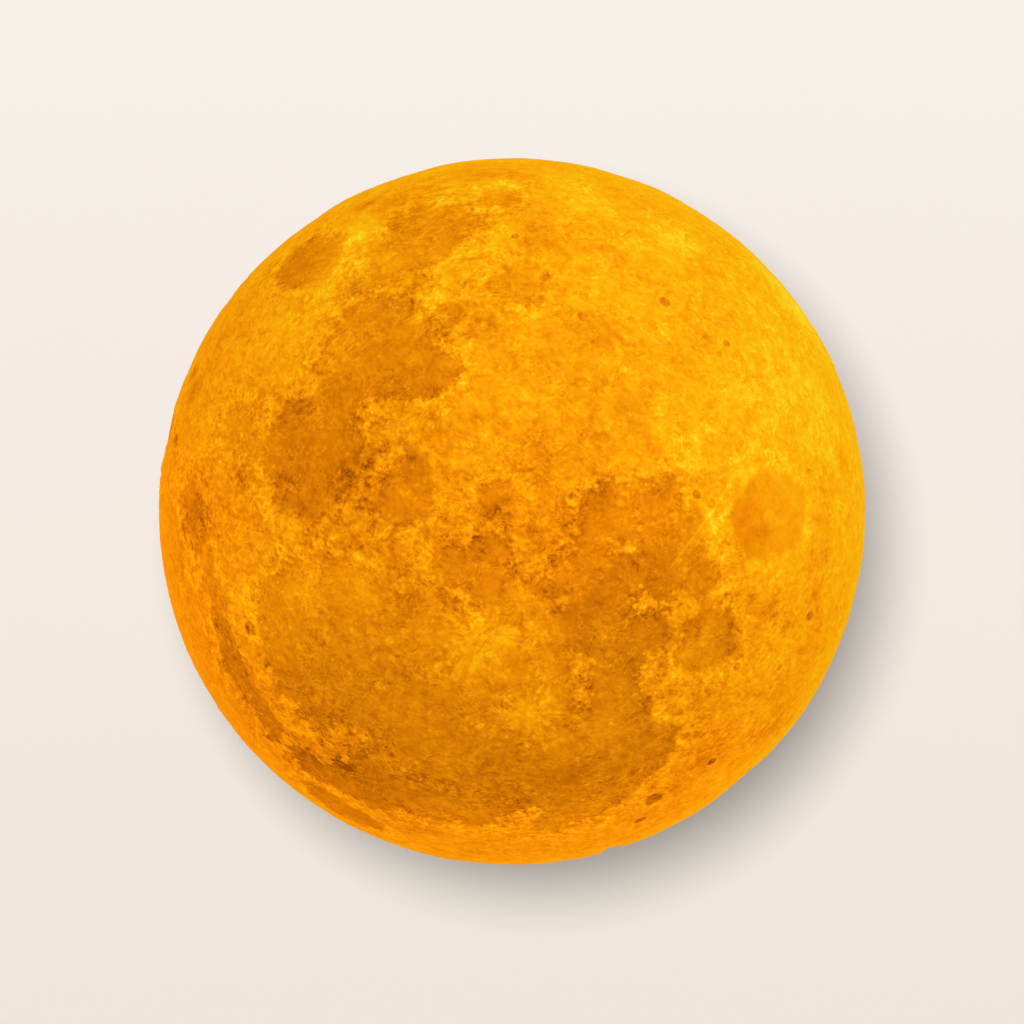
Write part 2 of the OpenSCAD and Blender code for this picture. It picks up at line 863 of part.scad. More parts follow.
module led_chips() {
    color("yellow") {
        translate([0, 0, led_top + led_chip[2] / 2])
            cube(led_chip, center = true);
        around([for (i = [0 : chip_count - 1]) (i + 0.5) * 360 / chip_count], led_pcd_r)
            translate([0, 0, led_top + led_chip[2] / 2])
                cube(led_chip, center = true);
    }
}

module led_screws() {
    color("silver") {
        around(PILLAR_ANGLES, standoff_pcd_r)
            translate([0, 0, led_top])
                mirror([0, 0, 1])
                    screw(small_screw_d / 2, small_screw_l, small_head_r, small_head_h);
    }
}

// Half outline of the cap: a skirt over the column, a shoulder on the heat spreader and a dome
module cap_profile() {
    difference() {
        union() {
            translate([0, column_top - skirt_h])
                square([cap_r, skirt_h + cap_z - column_top]);
            intersection() {
                translate([0, cap_z])
                    circle(r = cap_r);
                translate([0, cap_z])
                    square(cap_r);
            }
        }
        translate([-eps, column_top - skirt_h - eps])
            square([cap_in + eps, skirt_h + spreader_t + eps]);
        intersection() {
            translate([0, cap_z])
                circle(r = cap_in - cap_shoulder);
            translate([-eps, cap_z - eps])
                square(2 * cap_r);
        }
        translate([-eps, column_top])
            square([cap_in - cap_shoulder + eps, cap_z - column_top]);
    }
    // bead that snaps into the column's groove
    translate([cap_in, bead_z])
        circle(r = bead_r);
}

module diffuser_cap() {
    color("white")
        rotate_extrude()
            cap_profile();
}

// Leads. A lead is swept along a path rounded at its corners, with an eight-sided section.
lead_sides = 8;
function mix(a, b, t) = a + (b - a) * t;
function bend(a, b, c, t) = mix(mix(a, b, t), mix(b, c, t), t);
// Points of a path whose corners are replaced by curves that start halfway along each stretch
function rounded_path(p) = [
    p[0],
    for (i = [1 : len(p) - 2])
        for (t = [0 : 0.2 : 1])
            bend(mix(p[i - 1], p[i], i == 1 ? 0.4 : 0.5), p[i],
                 mix(p[i], p[i + 1], i == len(p) - 2 ? 0.6 : 0.49), t),
    p[len(p) - 1]
];
function unit(v) = v / norm(v);
function heading(p, i) = unit(p[min(i + 1, len(p) - 1)] - p[max(i - 1, 0)]);

module lead(route, side) {
    p = rounded_path(route);
    points = [
        for (i = [0 : len(p) - 1])
            let (u = unit(cross(heading(p, i), side)), w = cross(heading(p, i), u))
                for (k = [0 : lead_sides - 1])
                    p[i] + (u * cos(k * 360 / lead_sides) + w * sin(k * 360 / lead_sides)) * lead_d / 2
    ];
    last = len(p) - 1;
    walls = [
        for (i = [0 : last - 1])
            for (k = [0 : lead_sides - 1])
                let (a = i * lead_sides + k, b = i * lead_sides + (k + 1) % lead_sides)
                    [a, b, b + lead_sides, a + lead_sides]
    ];
    start = [for (k = [lead_sides - 1 : -1 : 0]) k];
    end = [for (k = [0 : lead_sides - 1]) last * lead_sides + k];
    polyhedron(points, concat([start], walls, [end]), convexity = 4);
}

function polar(a, r, z) = [r * cos(a), r * sin(a), z];

module battery_leads() {
    half = lead_d / 2;
    face = [plug_at[0] + plug[0] / 2, plug_at[1], board_top + plug[2] / 2];
    color("crimson")
        lead([
            [contact_r / 2, 0, cell_top + half],
            [cup_r + cup_wall, 0, cell_top + half + lead_gap],
            [lead_hole_at, half + lead_gap, cell_top - 5 * lead_d],
            [lead_hole_at, half + lead_gap, tray_z],
            [lead_hole_at - half, 3 * lead_d, board_top + 3 * lead_d],
            face + [2 * lead_d, plug_pitch / 2, 0],
            face + [0, plug_pitch / 2, 0]
        ], [0, 1, 0.1]);
    color("black")
        lead([
            [cell_d / 2, -half / 2, cell_z + lead_d],
            [lead_hole_at - half, -half / 2 - lead_gap, cell_z + lead_d],
            [lead_hole_at - half, -half - lead_gap, tray_z],
            [lead_hole_at - 2 * lead_d, lead_d, board_top + 1.5 * lead_d],
            face + [2 * lead_d, -plug_pitch / 2, 0],
            face + [0, -plug_pitch / 2, 0]
        ], [0.3, 0.3, 1]);
}

module led_leads() {
    half = lead_d / 2;
    color("ivory") {
        for (side = [-1, 1]) {
            y = side * (half + lead_gap);
            lead([
                [-led_hole_at + led_hole_r + 2 * lead_d, y, led_top + half],
                [-led_hole_at, y, led_top + half + lead_gap],
                [-led_hole_at, y, column_top - 3 * lead_d],
                [-lead_hole_at, y, cell_z + cell_l / 4],
                [-lead_hole_at, y, tray_z],
                [-lead_hole_at + lead_d, y * 1.4, board_top + 2 * lead_d],
                [-lead_hole_at + lead_d, y * 1.4, board_top]
            ], [0, 1, 0]);
        }
    }
}

module touch_lead() {
    half = lead_d / 2;
    color("ivory")
        lead([
            polar(notch_angle, ledge_r - tab_l / 2, ledge_z + half),
            polar(notch_angle, column_r + half, ledge_z + half),
            polar(notch_angle, column_in - 2 * lead_d, ledge_z + half),
            polar(notch_angle, column_in - 2 * lead_d, board_z)
        ], [sin(notch_angle), -cos(notch_angle), 0]);
}

moon_globe();
globe_collar();
touch_ring();
bottom_cover();
foot_ring();
cover_screws();
light_column();
control_board();
board_screws();
board_chips();
usb_shell();
usb_tongue();
switch_body();
switch_stem();
power_button();
indicator_lens();
indicator_led();
battery_tray();
battery_cell();
cell_pad();
battery_plug();
heat_spreader();
led_board();
led_chips();
led_screws();
diffuser_cap();
battery_leads();
led_leads();
touch_lead();
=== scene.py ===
# %% [markdown]
# # A moon lamp
#
# The lamp is a printed moon globe, lit from inside, on a small round base. The imported model
# already holds every part at its real size. This script gives the globe its seas, craters and
# rays, details the underside, and gives every part a finish made of shader nodes.
#
# The first cell loads the parts. They come in metres, standing on the table at z = 0, and stay
# where they are.

# %% Load the lamp
import math
import random
import bpy
import numpy as np
from mathutils import Matrix, Vector, noise


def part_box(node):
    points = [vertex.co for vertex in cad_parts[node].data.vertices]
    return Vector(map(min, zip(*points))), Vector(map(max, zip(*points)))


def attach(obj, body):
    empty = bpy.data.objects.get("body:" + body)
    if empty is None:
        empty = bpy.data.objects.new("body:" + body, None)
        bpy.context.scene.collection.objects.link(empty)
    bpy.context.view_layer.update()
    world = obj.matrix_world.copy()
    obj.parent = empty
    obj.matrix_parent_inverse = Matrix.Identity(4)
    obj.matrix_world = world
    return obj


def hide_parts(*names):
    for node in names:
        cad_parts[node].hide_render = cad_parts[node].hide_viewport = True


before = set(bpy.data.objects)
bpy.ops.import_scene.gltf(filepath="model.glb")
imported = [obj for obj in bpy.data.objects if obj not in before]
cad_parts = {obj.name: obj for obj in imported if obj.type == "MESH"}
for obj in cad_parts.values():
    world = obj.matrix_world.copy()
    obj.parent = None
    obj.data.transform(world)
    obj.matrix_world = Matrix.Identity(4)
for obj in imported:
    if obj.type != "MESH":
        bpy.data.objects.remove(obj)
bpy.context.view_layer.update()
MM = 0.001

# %% [markdown]
# ## Camera
#
# The photograph looks straight down on the lamp, so the globe hides its base. A camera in
# Blender looks along its own -Z with +Y up, so unturned it already looks down. A long lens from
# far away keeps the globe's outline round and almost without perspective, as in the photograph.
# The lens follows from the size that the globe has in the picture.

# %% Camera
PICTURE = 1024
DISC_CENTRE_Y = 511.4
DISC_RADIUS = 353.5
GLOBE_R = 75 * MM
CUT_R = 29 * MM
CAMERA_AWAY = 3.0

seat_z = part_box("moon_globe")[0].z
globe_z = seat_z + math.sqrt(GLOBE_R ** 2 - CUT_R ** 2)

camera = bpy.data.objects.new("camera", bpy.data.cameras.new("camera"))
bpy.context.scene.collection.objects.link(camera)
disc_slope = GLOBE_R / math.sqrt(CAMERA_AWAY ** 2 - GLOBE_R ** 2)
view_slope = disc_slope * (PICTURE / 2) / DISC_RADIUS
camera.data.lens = camera.data.sensor_width / (2 * view_slope)
camera.data.clip_end = 30
mm_per_pixel = GLOBE_R / DISC_RADIUS
camera.location = (0, (DISC_CENTRE_Y - PICTURE / 2) * mm_per_pixel, globe_z + CAMERA_AWAY)
bpy.context.scene.camera = camera
bpy.context.scene.view_settings.view_transform = "Standard"
print("lens", round(camera.data.lens, 1), "mm, globe centre", round(globe_z / MM, 2), "mm up")

# %% [markdown]
# ## Helpers for shader nodes
#
# A finish in Blender is a small graph of nodes. Making each node by hand takes several lines, so
# a few helpers come first: one that makes a node and sets or links its inputs, and short forms
# for arithmetic, soft steps and colour ramps. They serve a material and the world alike, since
# both have a node tree. Colours are written as they look on a screen, from 0 to 255, and turned
# into the linear light values that shaders use.

# %% Shader helpers
def screen(red, green, blue):
    """A colour as seen on a screen, as linear light with alpha."""
    def linear(v):
        v = v / 255
        return v / 12.92 if v <= 0.04045 else ((v + 0.055) / 1.055) ** 2.4
    return (linear(red), linear(green), linear(blue), 1.0)


def shade(colour, factor, lift=0.0):
    """The colour made darker or paler."""
    return tuple(min(1, v * factor + lift) for v in colour[:3]) + (1.0,)


def plug(material, socket, value):
    """Links a socket to another node's output, or sets it."""
    if isinstance(value, bpy.types.NodeSocket):
        material.node_tree.links.new(value, socket)
    else:
        socket.default_value = value


def node(material, kind, output=0, settings=None, **inputs):
    """A new shader node; inputs are given by name, with _ for a space."""
    made = material.node_tree.nodes.new("ShaderNode" + kind)
    for name, value in (settings or {}).items():
        setattr(made, name, value)
    for name, value in inputs.items():
        plug(material, made.inputs[name.replace("_", " ")], value)
    return made.outputs[output]


def calc(material, operation, a, b=0.0, clamp=False):
    """One step of arithmetic."""
    made = material.node_tree.nodes.new("ShaderNodeMath")
    made.operation = operation
    made.use_clamp = clamp
    plug(material, made.inputs[0], a)
    plug(material, made.inputs[1], b)
    return made.outputs[0]


def soft_step(material, value, low, high, to_low=0.0, to_high=1.0):
    """Runs smoothly from one value to another while the input goes from low to high."""
    return node(material, "MapRange", settings={"interpolation_type": "SMOOTHSTEP"}, Value=value,
                From_Min=low, From_Max=high, To_Min=to_low, To_Max=to_high)


def ramp(material, value, stops):
    """A colour ramp through (position, colour) stops."""
    made = material.node_tree.nodes.new("ShaderNodeValToRGB")
    colours = made.color_ramp.elements
    while len(colours) < len(stops):
        colours.new(0.5)
    for element, (position, colour) in zip(colours, stops):
        element.position = position
        element.color = colour
    plug(material, made.inputs[0], value)
    return made.outputs[0]


def mix_colours(material, share, a, b):
    """Goes from colour a to colour b as share goes from 0 to 1."""
    made = material.node_tree.nodes.new("ShaderNodeMix")
    made.data_type = "RGBA"
    plug(material, made.inputs[0], share)
    plug(material, made.inputs[6], a)
    plug(material, made.inputs[7], b)
    return made.outputs[2]


def new_finish(name):
    """A new material and its main shader."""
    material = bpy.data.materials.new(name)
    material.use_nodes = True
    return material, material.node_tree.nodes["Principled BSDF"]


def own_point(material, unit=1.0):
    """The place on the object, counted in the given unit instead of metres."""
    point = node(material, "TexCoord", output=3)
    return node(material, "Mapping", Vector=point, Scale=(1 / unit, 1 / unit, 1 / unit))


def relief(material, shader, height, depth, strength=1.0):
    """Lets a height pattern tilt the surface, as fine texture does."""
    bump = node(material, "Bump", Height=height, Distance=depth, Strength=strength)
    plug(material, shader.inputs["Normal"], bump)

# %% [markdown]
# ## Table and light
#
# The lamp stands on a plain pale surface whose tone falls off a little towards the bottom of the
# picture: a fall-off of light, painted into its colour. A plain plane is enough, since only its
# colour matters. One soft sun from the upper left throws the blurred shadow towards the lower
# right.
# Its slant follows from how far the shadow is shifted in the photograph, and its width in the sky
# from how blurred it is. The even light of the world fills the rest. Together they light a white
# surface to exactly white.

# %% Table
bpy.ops.object.select_all(action="DESELECT")
bpy.ops.mesh.primitive_plane_add(size=8)
table = bpy.context.object
table.name = "table"

table_paint, table_shader = new_finish("table_paint")
table_y = node(table_paint, "SeparateXYZ", output=1, Vector=own_point(table_paint))
PICTURE_HALF = PICTURE / 2 * mm_per_pixel
down_the_picture = node(table_paint, "MapRange", Value=table_y, From_Min=-PICTURE_HALF,
                        From_Max=PICTURE_HALF)
# The ramp darkens the table towards the bottom of the picture: painted fall-off of light
table_colour = ramp(table_paint, down_the_picture, [
    (0.0, screen(238, 230, 218)), (0.5, screen(243, 234, 225)), (1.0, screen(247, 240, 232))])
plug(table_paint, table_shader.inputs["Base Color"], table_colour)
table_shader.inputs["Roughness"].default_value = 1.0
table_shader.inputs["Specular IOR Level"].default_value = 0.0
table.data.materials.append(table_paint)
print("table paint with", len(table_paint.node_tree.nodes), "nodes")

# %% Sun and world
SHADOW_RIGHT = 26
SHADOW_DOWN = 33
SUN_SHARE = 0.62
SUN_WIDTH = 14

shift = Vector((SHADOW_RIGHT, -SHADOW_DOWN, 0)) * mm_per_pixel
to_sun = Vector((-shift.x, -shift.y, globe_z)).normalized()
sun = bpy.data.objects.new("sun", bpy.data.lights.new("sun", "SUN"))
bpy.context.scene.collection.objects.link(sun)
sun.rotation_euler = to_sun.to_track_quat("Z", "Y").to_euler()
sun.data.energy = SUN_SHARE * math.pi / to_sun.z
sun.data.angle = math.radians(SUN_WIDTH)

world = bpy.data.worlds.new("world")
bpy.context.scene.world = world
world.use_nodes = True
sky = world.node_tree
even = sky.nodes["Background"]
even.inputs["Color"].default_value = (1, 1, 1, 1)
even.inputs["Strength"].default_value = 1 - SUN_SHARE
# The seen sky is pale at the horizon and darker overhead, so that metal shows a shape
sky_height = node(world, "SeparateXYZ", output=2, Vector=node(world, "TexCoord"))
seen = node(world, "Background", Color=ramp(world, sky_height, [
    (0.0, screen(243, 235, 226)), (1.0, screen(150, 146, 142))]))
ray_is = sky.nodes.new("ShaderNodeLightPath").outputs
through = calc(world, "MAXIMUM", ray_is["Is Camera Ray"], ray_is["Is Transmission Ray"])
seen_share = calc(world, "MAXIMUM", through, ray_is["Is Glossy Ray"])
choice = sky.nodes.new("ShaderNodeMixShader")
for socket, value in zip(choice.inputs, (seen_share, even.outputs[0], seen)):
    plug(world, socket, value)
plug(world, sky.nodes["World Output"].inputs["Surface"], choice.outputs[0])
print("sun slant", round(math.degrees(math.acos(to_sun.z)), 1), "degrees")

# %% [markdown]
# ## The moon's map
#
# The globe carries the real moon's near side, turned as in the photograph. Drawing it as a picture
# would need an image, so the map is built from about a hundred round patches, each with a place in
# latitude and longitude, a radius in degrees and a darkness. Overlapping patches make the seas.
# The map has its own axes: x towards the east limb, y towards the north pole and z towards the
# viewer. Three turns bring them to the lamp's axes.

# %% Axes of the map
MAP_TURN = 110.4
MAP_NOD = -1.5
MAP_SWAY = 4.0

map_to_lamp = (Matrix.Rotation(math.radians(MAP_TURN), 3, "Z")
               @ Matrix.Rotation(math.radians(MAP_NOD), 3, "X")
               @ Matrix.Rotation(math.radians(MAP_SWAY), 3, "Y"))


def on_map(lat, lon):
    """The direction from the globe's centre to a place on the map."""
    lat, lon = math.radians(lat), math.radians(lon)
    return map_to_lamp @ Vector((math.cos(lat) * math.sin(lon), math.sin(lat),
                                 math.cos(lat) * math.cos(lon)))


print("the map's north pole lies towards", [round(v, 2) for v in on_map(90, 0)])

# %% [markdown]
# Each row is latitude, longitude, radius and darkness. The seas come first, group by group.

# %% Seas
SEAS = {
    "showers": [(35, -17, 15.5, .5), (44, -22, 7, .5), (42, -8, 7, .45), (44.5, -31.5, 4.5, .5)],
    "cold": [(56.5, -40, 3.5, .6), (58, -33, 3, .55), (61, -25, 3, .55), (62, -17, 3.5, .6),
             (60, -6, 3, .5), (58, 5, 3, .35), (57, 15, 3, .35), (57, 24, 3, .45),
             (56, 31, 3.5, .55), (55, 38, 2.5, .5)],
    "north-west shore": [(51, -52, 4.5, .8), (40, -54, 6.5, .8), (46, -55, 4, .6),
                         (35, -50, 5, .75), (37, -44, 4.5, .6), (50, -70, 5, .6),
                         (45, -72, 5, .55)],
    "storms": [(30, -56, 6, .6), (22, -58, 5, .65), (17, -54, 7, .8), (12, -50, 7, .75),
               (7, -54, 8, .8), (5, -47, 6, .7), (-1, -52, 7, .8), (-6, -56, 5, .9),
               (-9, -53, 4.5, .9), (-5, -44, 6, .75), (-8, -37, 6, .7), (25, -40, 9, .6),
               (28, -30, 9, .6), (20, -33, 6, .6), (15, -43, 5, .7), (5, -63, 5, .5),
               (-1, -61, 4, .7), (10, -66, 4, .35)],
    "islands": [(10, -27, 8, .4), (5, -30, 7, .5), (17, -17, 6, .35), (14, -33, 5, .5),
                (6, -38, 6, .6), (3, -23, 5, .65)],
    "known": [(-10, -24, 5.5, 1), (-14, -20, 4, .9), (-8, -31, 5, .8), (-12, -31, 4, .85),
              (-5, -26, 5, .8), (-2, -18, 3, .45)],
    "middle": [(-14.5, -9.5, 4, .6), (-11, -13, 3.5, .8), (-8, -17, 4, .6)],
    "clouds": [(-20, -23, 5, .7), (-23, -14, 6, .65), (-27, -19, 4.5, .65), (-18, -13, 4, .6),
               (-26, -11, 3.5, .5), (-16, -31, 4.5, .75), (-26, -28, 3.5, .6)],
    "moisture": [(-24.5, -39, 6, .65)],
    "vapours": [(14, 4.5, 5, .4), (11.5, 8, 3, .55), (10, -9, 4, .6), (5, -15, 4.5, .8),
                (4, -9, 3.5, .75), (0, -1, 3, .5)],
    "serenity": [(27, 19, 10.2, .65), (34, 14, 3, .75), (37, 29, 4, .25), (38, 35, 4, .25)],
    "tranquillity": [(8, 27, 8, .6), (4, 23, 5, .75), (14, 33, 6, .5), (17, 27, 4, .6),
                     (10, 37, 5, .5), (4, 35, 3, .5), (-3, 31, 2.5, .5)],
    "fertility": [(-2, 49, 7, .5), (3, 47, 4, .4), (-8, 52, 5, .5), (5, 53, 3, .4),
                  (-3, 56, 4, .5)],
    "nectar": [(-15, 34, 4.5, .35)],
    "crises": [(16, 59, 6.5, .55), (17, 63, 5, .6), (15, 55, 4, .55)],
    "south-east": [(-17, 58, 3.5, .45)],
    "east limb": [(57, 81, 4, .6), (-2, 87, 5, .5), (14, 87, 4, .5), (-20, -94, 5, .6)],
    "far side": [(27, 147, 5, .7), (-34, 163, 4, .6), (-20, 129, 3, .8), (-36, -152, 6, .35)],
}
sea_patches = [patch for group in SEAS.values() for patch in group]
print(len(sea_patches), "patches of sea floor")

# %% [markdown]
# The highlands carry craters with dark floors, soft dark spots and a few young craters with bright
# rays. Both kinds of ground also have broad areas that are brighter or, with a minus, darker than
# the ground around them. They were read from the photograph, region by region.

# %% Dark floors and spots
DARK_FLOORS = [
    (51.7, -9, 1.4), (-6, -68.2, 1.9), (-17, 44.5, .7), (-2.5, -74, 1.1), (-17, -67, 1),
    (-38.3, 26.5, 1.1), (-47.8, 16, .8), (54.4, 58.8, 1.3), (-44, -56, 1.2), (-34.4, -58.4, .8),
    (-27, -48.5, .9), (-31.3, -13.1, .9), (33.6, 11.1, .35),
]
DARK_SPOTS = [
    (45.6, 60.4, 2, .6), (44.2, 67.7, 1.5, .7), (41.5, 25.5, 1.5, .8), (-48.3, 40.4, 3, .4),
    (-68.3, -35, 2, .6), (-47, -53, 1.2, .7), (-39, -51, 1, .6), (-36.7, -43.4, 2, .5),
    (-53, -46, 1.5, .5), (-29, -41, 1.2, .5), (-34, -29, 1.5, .7), (4, 68.5, 2, .6),
    (-41, -27, 1.5, .5),
]
print(len(DARK_FLOORS), "dark floors and", len(DARK_SPOTS), "dark spots")

# %% Tones of the middle and the east
MIDDLE_TONES = [
    (18, 8, 6, -.3), (22, -1, 3, -.4), (18, -4, 4, -.4), (14, 11, 4, -.4), (19, 12, 3, -.4),
    (14.5, 14, 5, -.3), (11, -5, 3, -.5), (2, -3, 3, -.3), (4, 5, 3, -.4), (17.5, 16.5, 1.2, .7),
    (14, 11, 1.2, .6), (-9, 9.3, 2, .4), (4, 7, 2, .3), (21, 5, 2.5, -.4), (25.5, 2, 2, -.8),
    (31, 4.5, 3, -.5), (33, 0, 1.3, .7), (26, -8, 3.5, .7), (13, -7, 2, .4),
    (35, 4, 2.5, -.2), (32, -4, 3, .3),
    (37, -6, 3, .5), (36, 8, 2, .3), (39, 17, 2, .2), (5, 8, 5, -.2), (-2, -8, 6, -.6),
    (-8, -4, 6, -.15), (-8, 3, 6, -.5), (-14, -3, 5, -.2), (-2, -1.5, 2.5, .4),
    (-12, -5.5, 2, .6), (-20, 0, 2, .3), (-5, 10, 5, -.3), (-8, 12, 2.5, .6), (-4, 8, 2, .6),
    (-2, -11, 3, -.4), (-16, -6, 3, -.25), (-8, -9, 2, -.5), (-11, -7.5, 2, -.5),
    (1, -3.5, 2, -.5), (9, -2.5, 2, -.5), (-18, 2, 2, -.5), (-25.5, 1.5, 3, -.5),
    (-19, 5, 4, -.3), (-20, 12, 4, -.3), (-17, 17, 4, -.25),
]
EAST_TONES = [
    (39, -3, 4, .5), (46, -12, 4, .4), (18, 52, 6, .2), (30, 48, 8, .15), (5, 46, 3, .5),
    (12, 53, 4, .5), (9, 46, 3, -.4), (3, 41, 3, -.7), (17, 34, 3, .4), (-12, 43, 3, .7),
    (8, 57, 6, .5), (9, 62, 3, .1), (26, 40, 6, .2), (-28, 34, 3, .6), (-30, 57, 5, .5),
    (-43, 47, 5, .7), (-22, 50, 6, .3), (3, 63, 2, -.4), (-3, 67, 3, -.5), (-19, 42, 3, -.4),
    (-14, 72, 4, -.4), (-28, 65, 4, .5), (-7, 30, 3, -.8), (29, 27, 4, -.2),
    (53, 24, 4, -.3), (14, 57, 2.5, -.4), (-17, 61, 2.5, .6), (-23, 62, 2.2, -.5),
    (-20, 66, 2, -.4), (-2, 62, 2.5, -.5), (-7, 63, 2.5, -.5), (1, 57.5, 1.6, -.6),
    (5.5, 57, 2.5, .5), (-16, 47, 2, .5), (-21, 48.5, 2.5, -.4),
    (-18, 52, 4, -.25), (-10, 47, 2, -.4), (-5, 45, 1.5, .4), (2, 45, 2.5, .4), (10, 45, 2, -.6),
    (6, 45, 2, -.4), (1, 39, 2, -.4), (-3, 34.5, 1.5, .5), (-7, 34, 1.5, .4),
    (-7.5, 26, 1.8, -.9), (-11.5, 25, 1.5, -.7), (-11, 23.5, 3, .3),
    (3.5, 33, 1.5, .4), (31, 33, 3, -.4), (52, 27, 4, -.3), (41, 18, 3, -.35),
    (-9, 64, 1.5, .5), (-16, 67, 2, -.4),
    (-19.5, 57, 1.5, -.5), (-14, 56.5, 1.5, .4), (-21, 45, 2, -.6), (-14, 50, 1.5, -.5),
    (-7, 43, 1.5, .3), (4, 43, 2, -.4), (3, 59, 1.5, -.4), (0, 66, 1.5, -.4),
    (-30.2, 37.3, 2, -.5), (-22.6, 41.6, 2.5, -.4), (-8.2, 44.2, 1.6, -.7), (-1.9, 33, 1.8, .4),
    (-6.4, 38.5, 2, .3), (.5, 27.4, 1.6, -.5), (-8.4, 21.5, 1.6, -.5), (-1.2, 21.8, 2.2, .5),
    (6.3, 62.2, 2, .6), (5.2, 56.3, 2.2, .5), (-14.8, 52.4, 1.6, .6), (-20, 60.3, 1.6, .6),
    (19.9, 42.3, 2.5, .4), (10.2, 50.3, 2, .4), (23.7, 32.6, 2.3, -.6), (30.9, 29.5, 2, .7),
    (34.4, 22.8, 2, .4), (40.2, 22.6, 1.5, -.4), (36.6, 42.9, 2.5, -.4), (21.5, 55.5, 2, -.5),
    (-31.7, 54.6, 2.5, .5), (-36.6, 40.8, 2.5, .5), (-45.5, 44, 2.5, .4), (-74, 55, 6, .6),
    (-68, 68, 6, .5),
]
print(len(MIDDLE_TONES) + len(EAST_TONES), "tones")

# %% Tones of the south and the west
SOUTH_TONES = [
    (-26, 7, 3, -.6), (-24, 22, 3, -.4), (-41, 14, 4, -.4), (-46, 25, 5, -.3), (-52, 12, 5, -.1),
    (-33, -4, 2.5, .6), (-29, 2, 2, .6), (-33, -19, 2, .4), (-33, 22, 3, .3), (-44, 3, 3, .4),
    (-58, 8, 8, .25), (-26, -8, 3, -.2), (-21, -22, 2, -.5), (-40, -13, 5, -.3),
    (-40.5, -13.5, 1.5, .6), (-38, -23, 5, -.3),
    (-35, -26, 2.5, -.7), (-33, -27.5, 1, .7), (-29, -27, 3, -.3), (-31, -22, 1.5, .4),
    (-34, -42, 5, -.6), (-47, -48, 5, -.3), (-57, -32, 4, -.6),
    (-54, -38, 2, -.6), (-50, -44, 2, -.5), (-60.5, -33, 2, -.5), (-54, -14, 2, -.5),
    (-60, -10, 20, .3), (-50.8, -15.6, 1, .7), (-50, -34.5, 1, .7), (-52, 40, 14, .2),
    (-42, -22, 12, .2), (-22, -28, 8, -.2), (-19, -35, 2.5, -.6),
    (-15.5, -38, 1.5, -.7), (-19, -40, 1.5, .6), (-22, -6, 1.5, .4), (-17, -5, 2, -.4),
    (-33, -36, 2, -.5), (-28, -44, 1.5, -.4), (-33, -47, 1.5, -.4), (-40, -47, 2, -.4),
    (-38, -58, 5, -.3), (-36, -55, 1.3, .5), (-14, -43, 2, -.35), (-27, -46, 2, -.4),
    (-17, -65, 2.5, -.4),
    (-44, -14.7, 2, -.3), (-36.7, -19.8, 2.5, -.3), (-30.5, -13.3, 2, -.4), (-25.9, -6, 2, -.4),
    (-17, 1.2, 2, -.4), (-15, -4, 3, -.3), (-7.6, -11.3, 1.8, -.6), (-3.1, -12.6, 1.8, -.2),
    (-16.7, -16.7, 1.8, -.7), (-11, -19, 2.5, -.4), (-17, -27.1, 2.2, -.8), (-23.9, -33, 1.8, -.8),
    (-29.7, -33.6, 1.8, -.6), (-68.9, -9.9, 4, .5), (-62, -23, 4, .4), (-41.6, 10.5, 2, .5),
    (-28.8, 4.9, 1.5, .4), (-26.4, 10, 2, .4), (-25.6, 26.3, 1.8, .5), (-43.2, 24.9, 2, .4),
    (-55, -46.5, 2.5, -.4),
]
WEST_TONES = [
    (-14, -46, 5, -.5), (-20, -50, 5, -.45), (-20, -60, 8, -.4), (-12, -62, 5, -.5),
    (-28, -66, 8, -.4), (-30, -74, 6, -.4), (-8, -72, 8, -.3), (10, -74, 8, -.1),
    (25, -74, 7, -.12), (33, -68, 4, -.4), (45, -39, 4, -.6), (62, -48, 4, -.3),
    (57, -16, 3, -.4), (-45, -65, 8, -.25), (19, -10, 3, -.6), (11.5, -15, 1.8, -.6),
    (11, -22, 1.8, -.5), (10, -26, 2.5, .4), (5.5, -12, 1.5, .6), (14, -27, 1.5, .4),
    (18, -27, 1.5, .4), (-3, -20, 2.2, -.8), (1.5, -22.5, 2, .4), (1.5, -17, 1.5, .7),
    (52, -3, 4, .4), (17, -25, 2, -.5), (-8.5, -23.5, 2, -.4),
    (-3.5, -30, 2, -.5), (-.5, -38, 2, -.6), (3, -36, 1.5, .8), (-9, -27, 2, .5),
    (-26, -65, 2.5, .7), (-12, -50, 1.5, .6), (-1, -45, 5, .3), (-9, -57, 1.5, .5),
    (-10, -68, 1.5, -.6), (-1, -64, 1.5, -.4), (25.5, -50, 3, -.4), (41, -42, 5, -.35),
    (43, -37, 1.5, .5), (48, -36, 1.5, .4), (48, -44, 4, -.25), (51, -25, 1.5, .4),
    (30, -72, 3, .4), (26, -60, 4, .25), (58, 14, 4, .2), (38, 14, 1.5, .4),
    (35, 8.5, 1.5, .6),
    (8.2, 9.6, 2, -.7), (9, 2.8, 3, -.3), (11.4, 19.8, 2, -.7), (3.7, 16.3, 2, -.4),
    (22.7, 8.1, 2.5, -.6), (34.8, 2.2, 2, .4), (46.8, -2.5, 2.5, .4), (61.4, -4.5, 2, .3),
    (17.7, -3.7, 2, .2), (22.6, -5.6, 2, -.5), (1.5, -10, 1.8, .9), (10.8, -15.1, 1.6, -.6),
    (14.3, -19.9, 2.5, -.3), (10.8, -32.5, 1.6, -.6), (44.4, -36.7, 1.8, .7),
    (55.8, -50.7, 3, -.4),
    (50.5, -31.3, 2, -.4), (-14.9, -45.7, 1.6, .5), (-23.4, -59.6, 2, .4), (12.5, -61.5, 2, -.4),
]
TONES = MIDDLE_TONES + EAST_TONES + SOUTH_TONES + WEST_TONES
print(len(TONES), "tones in all")

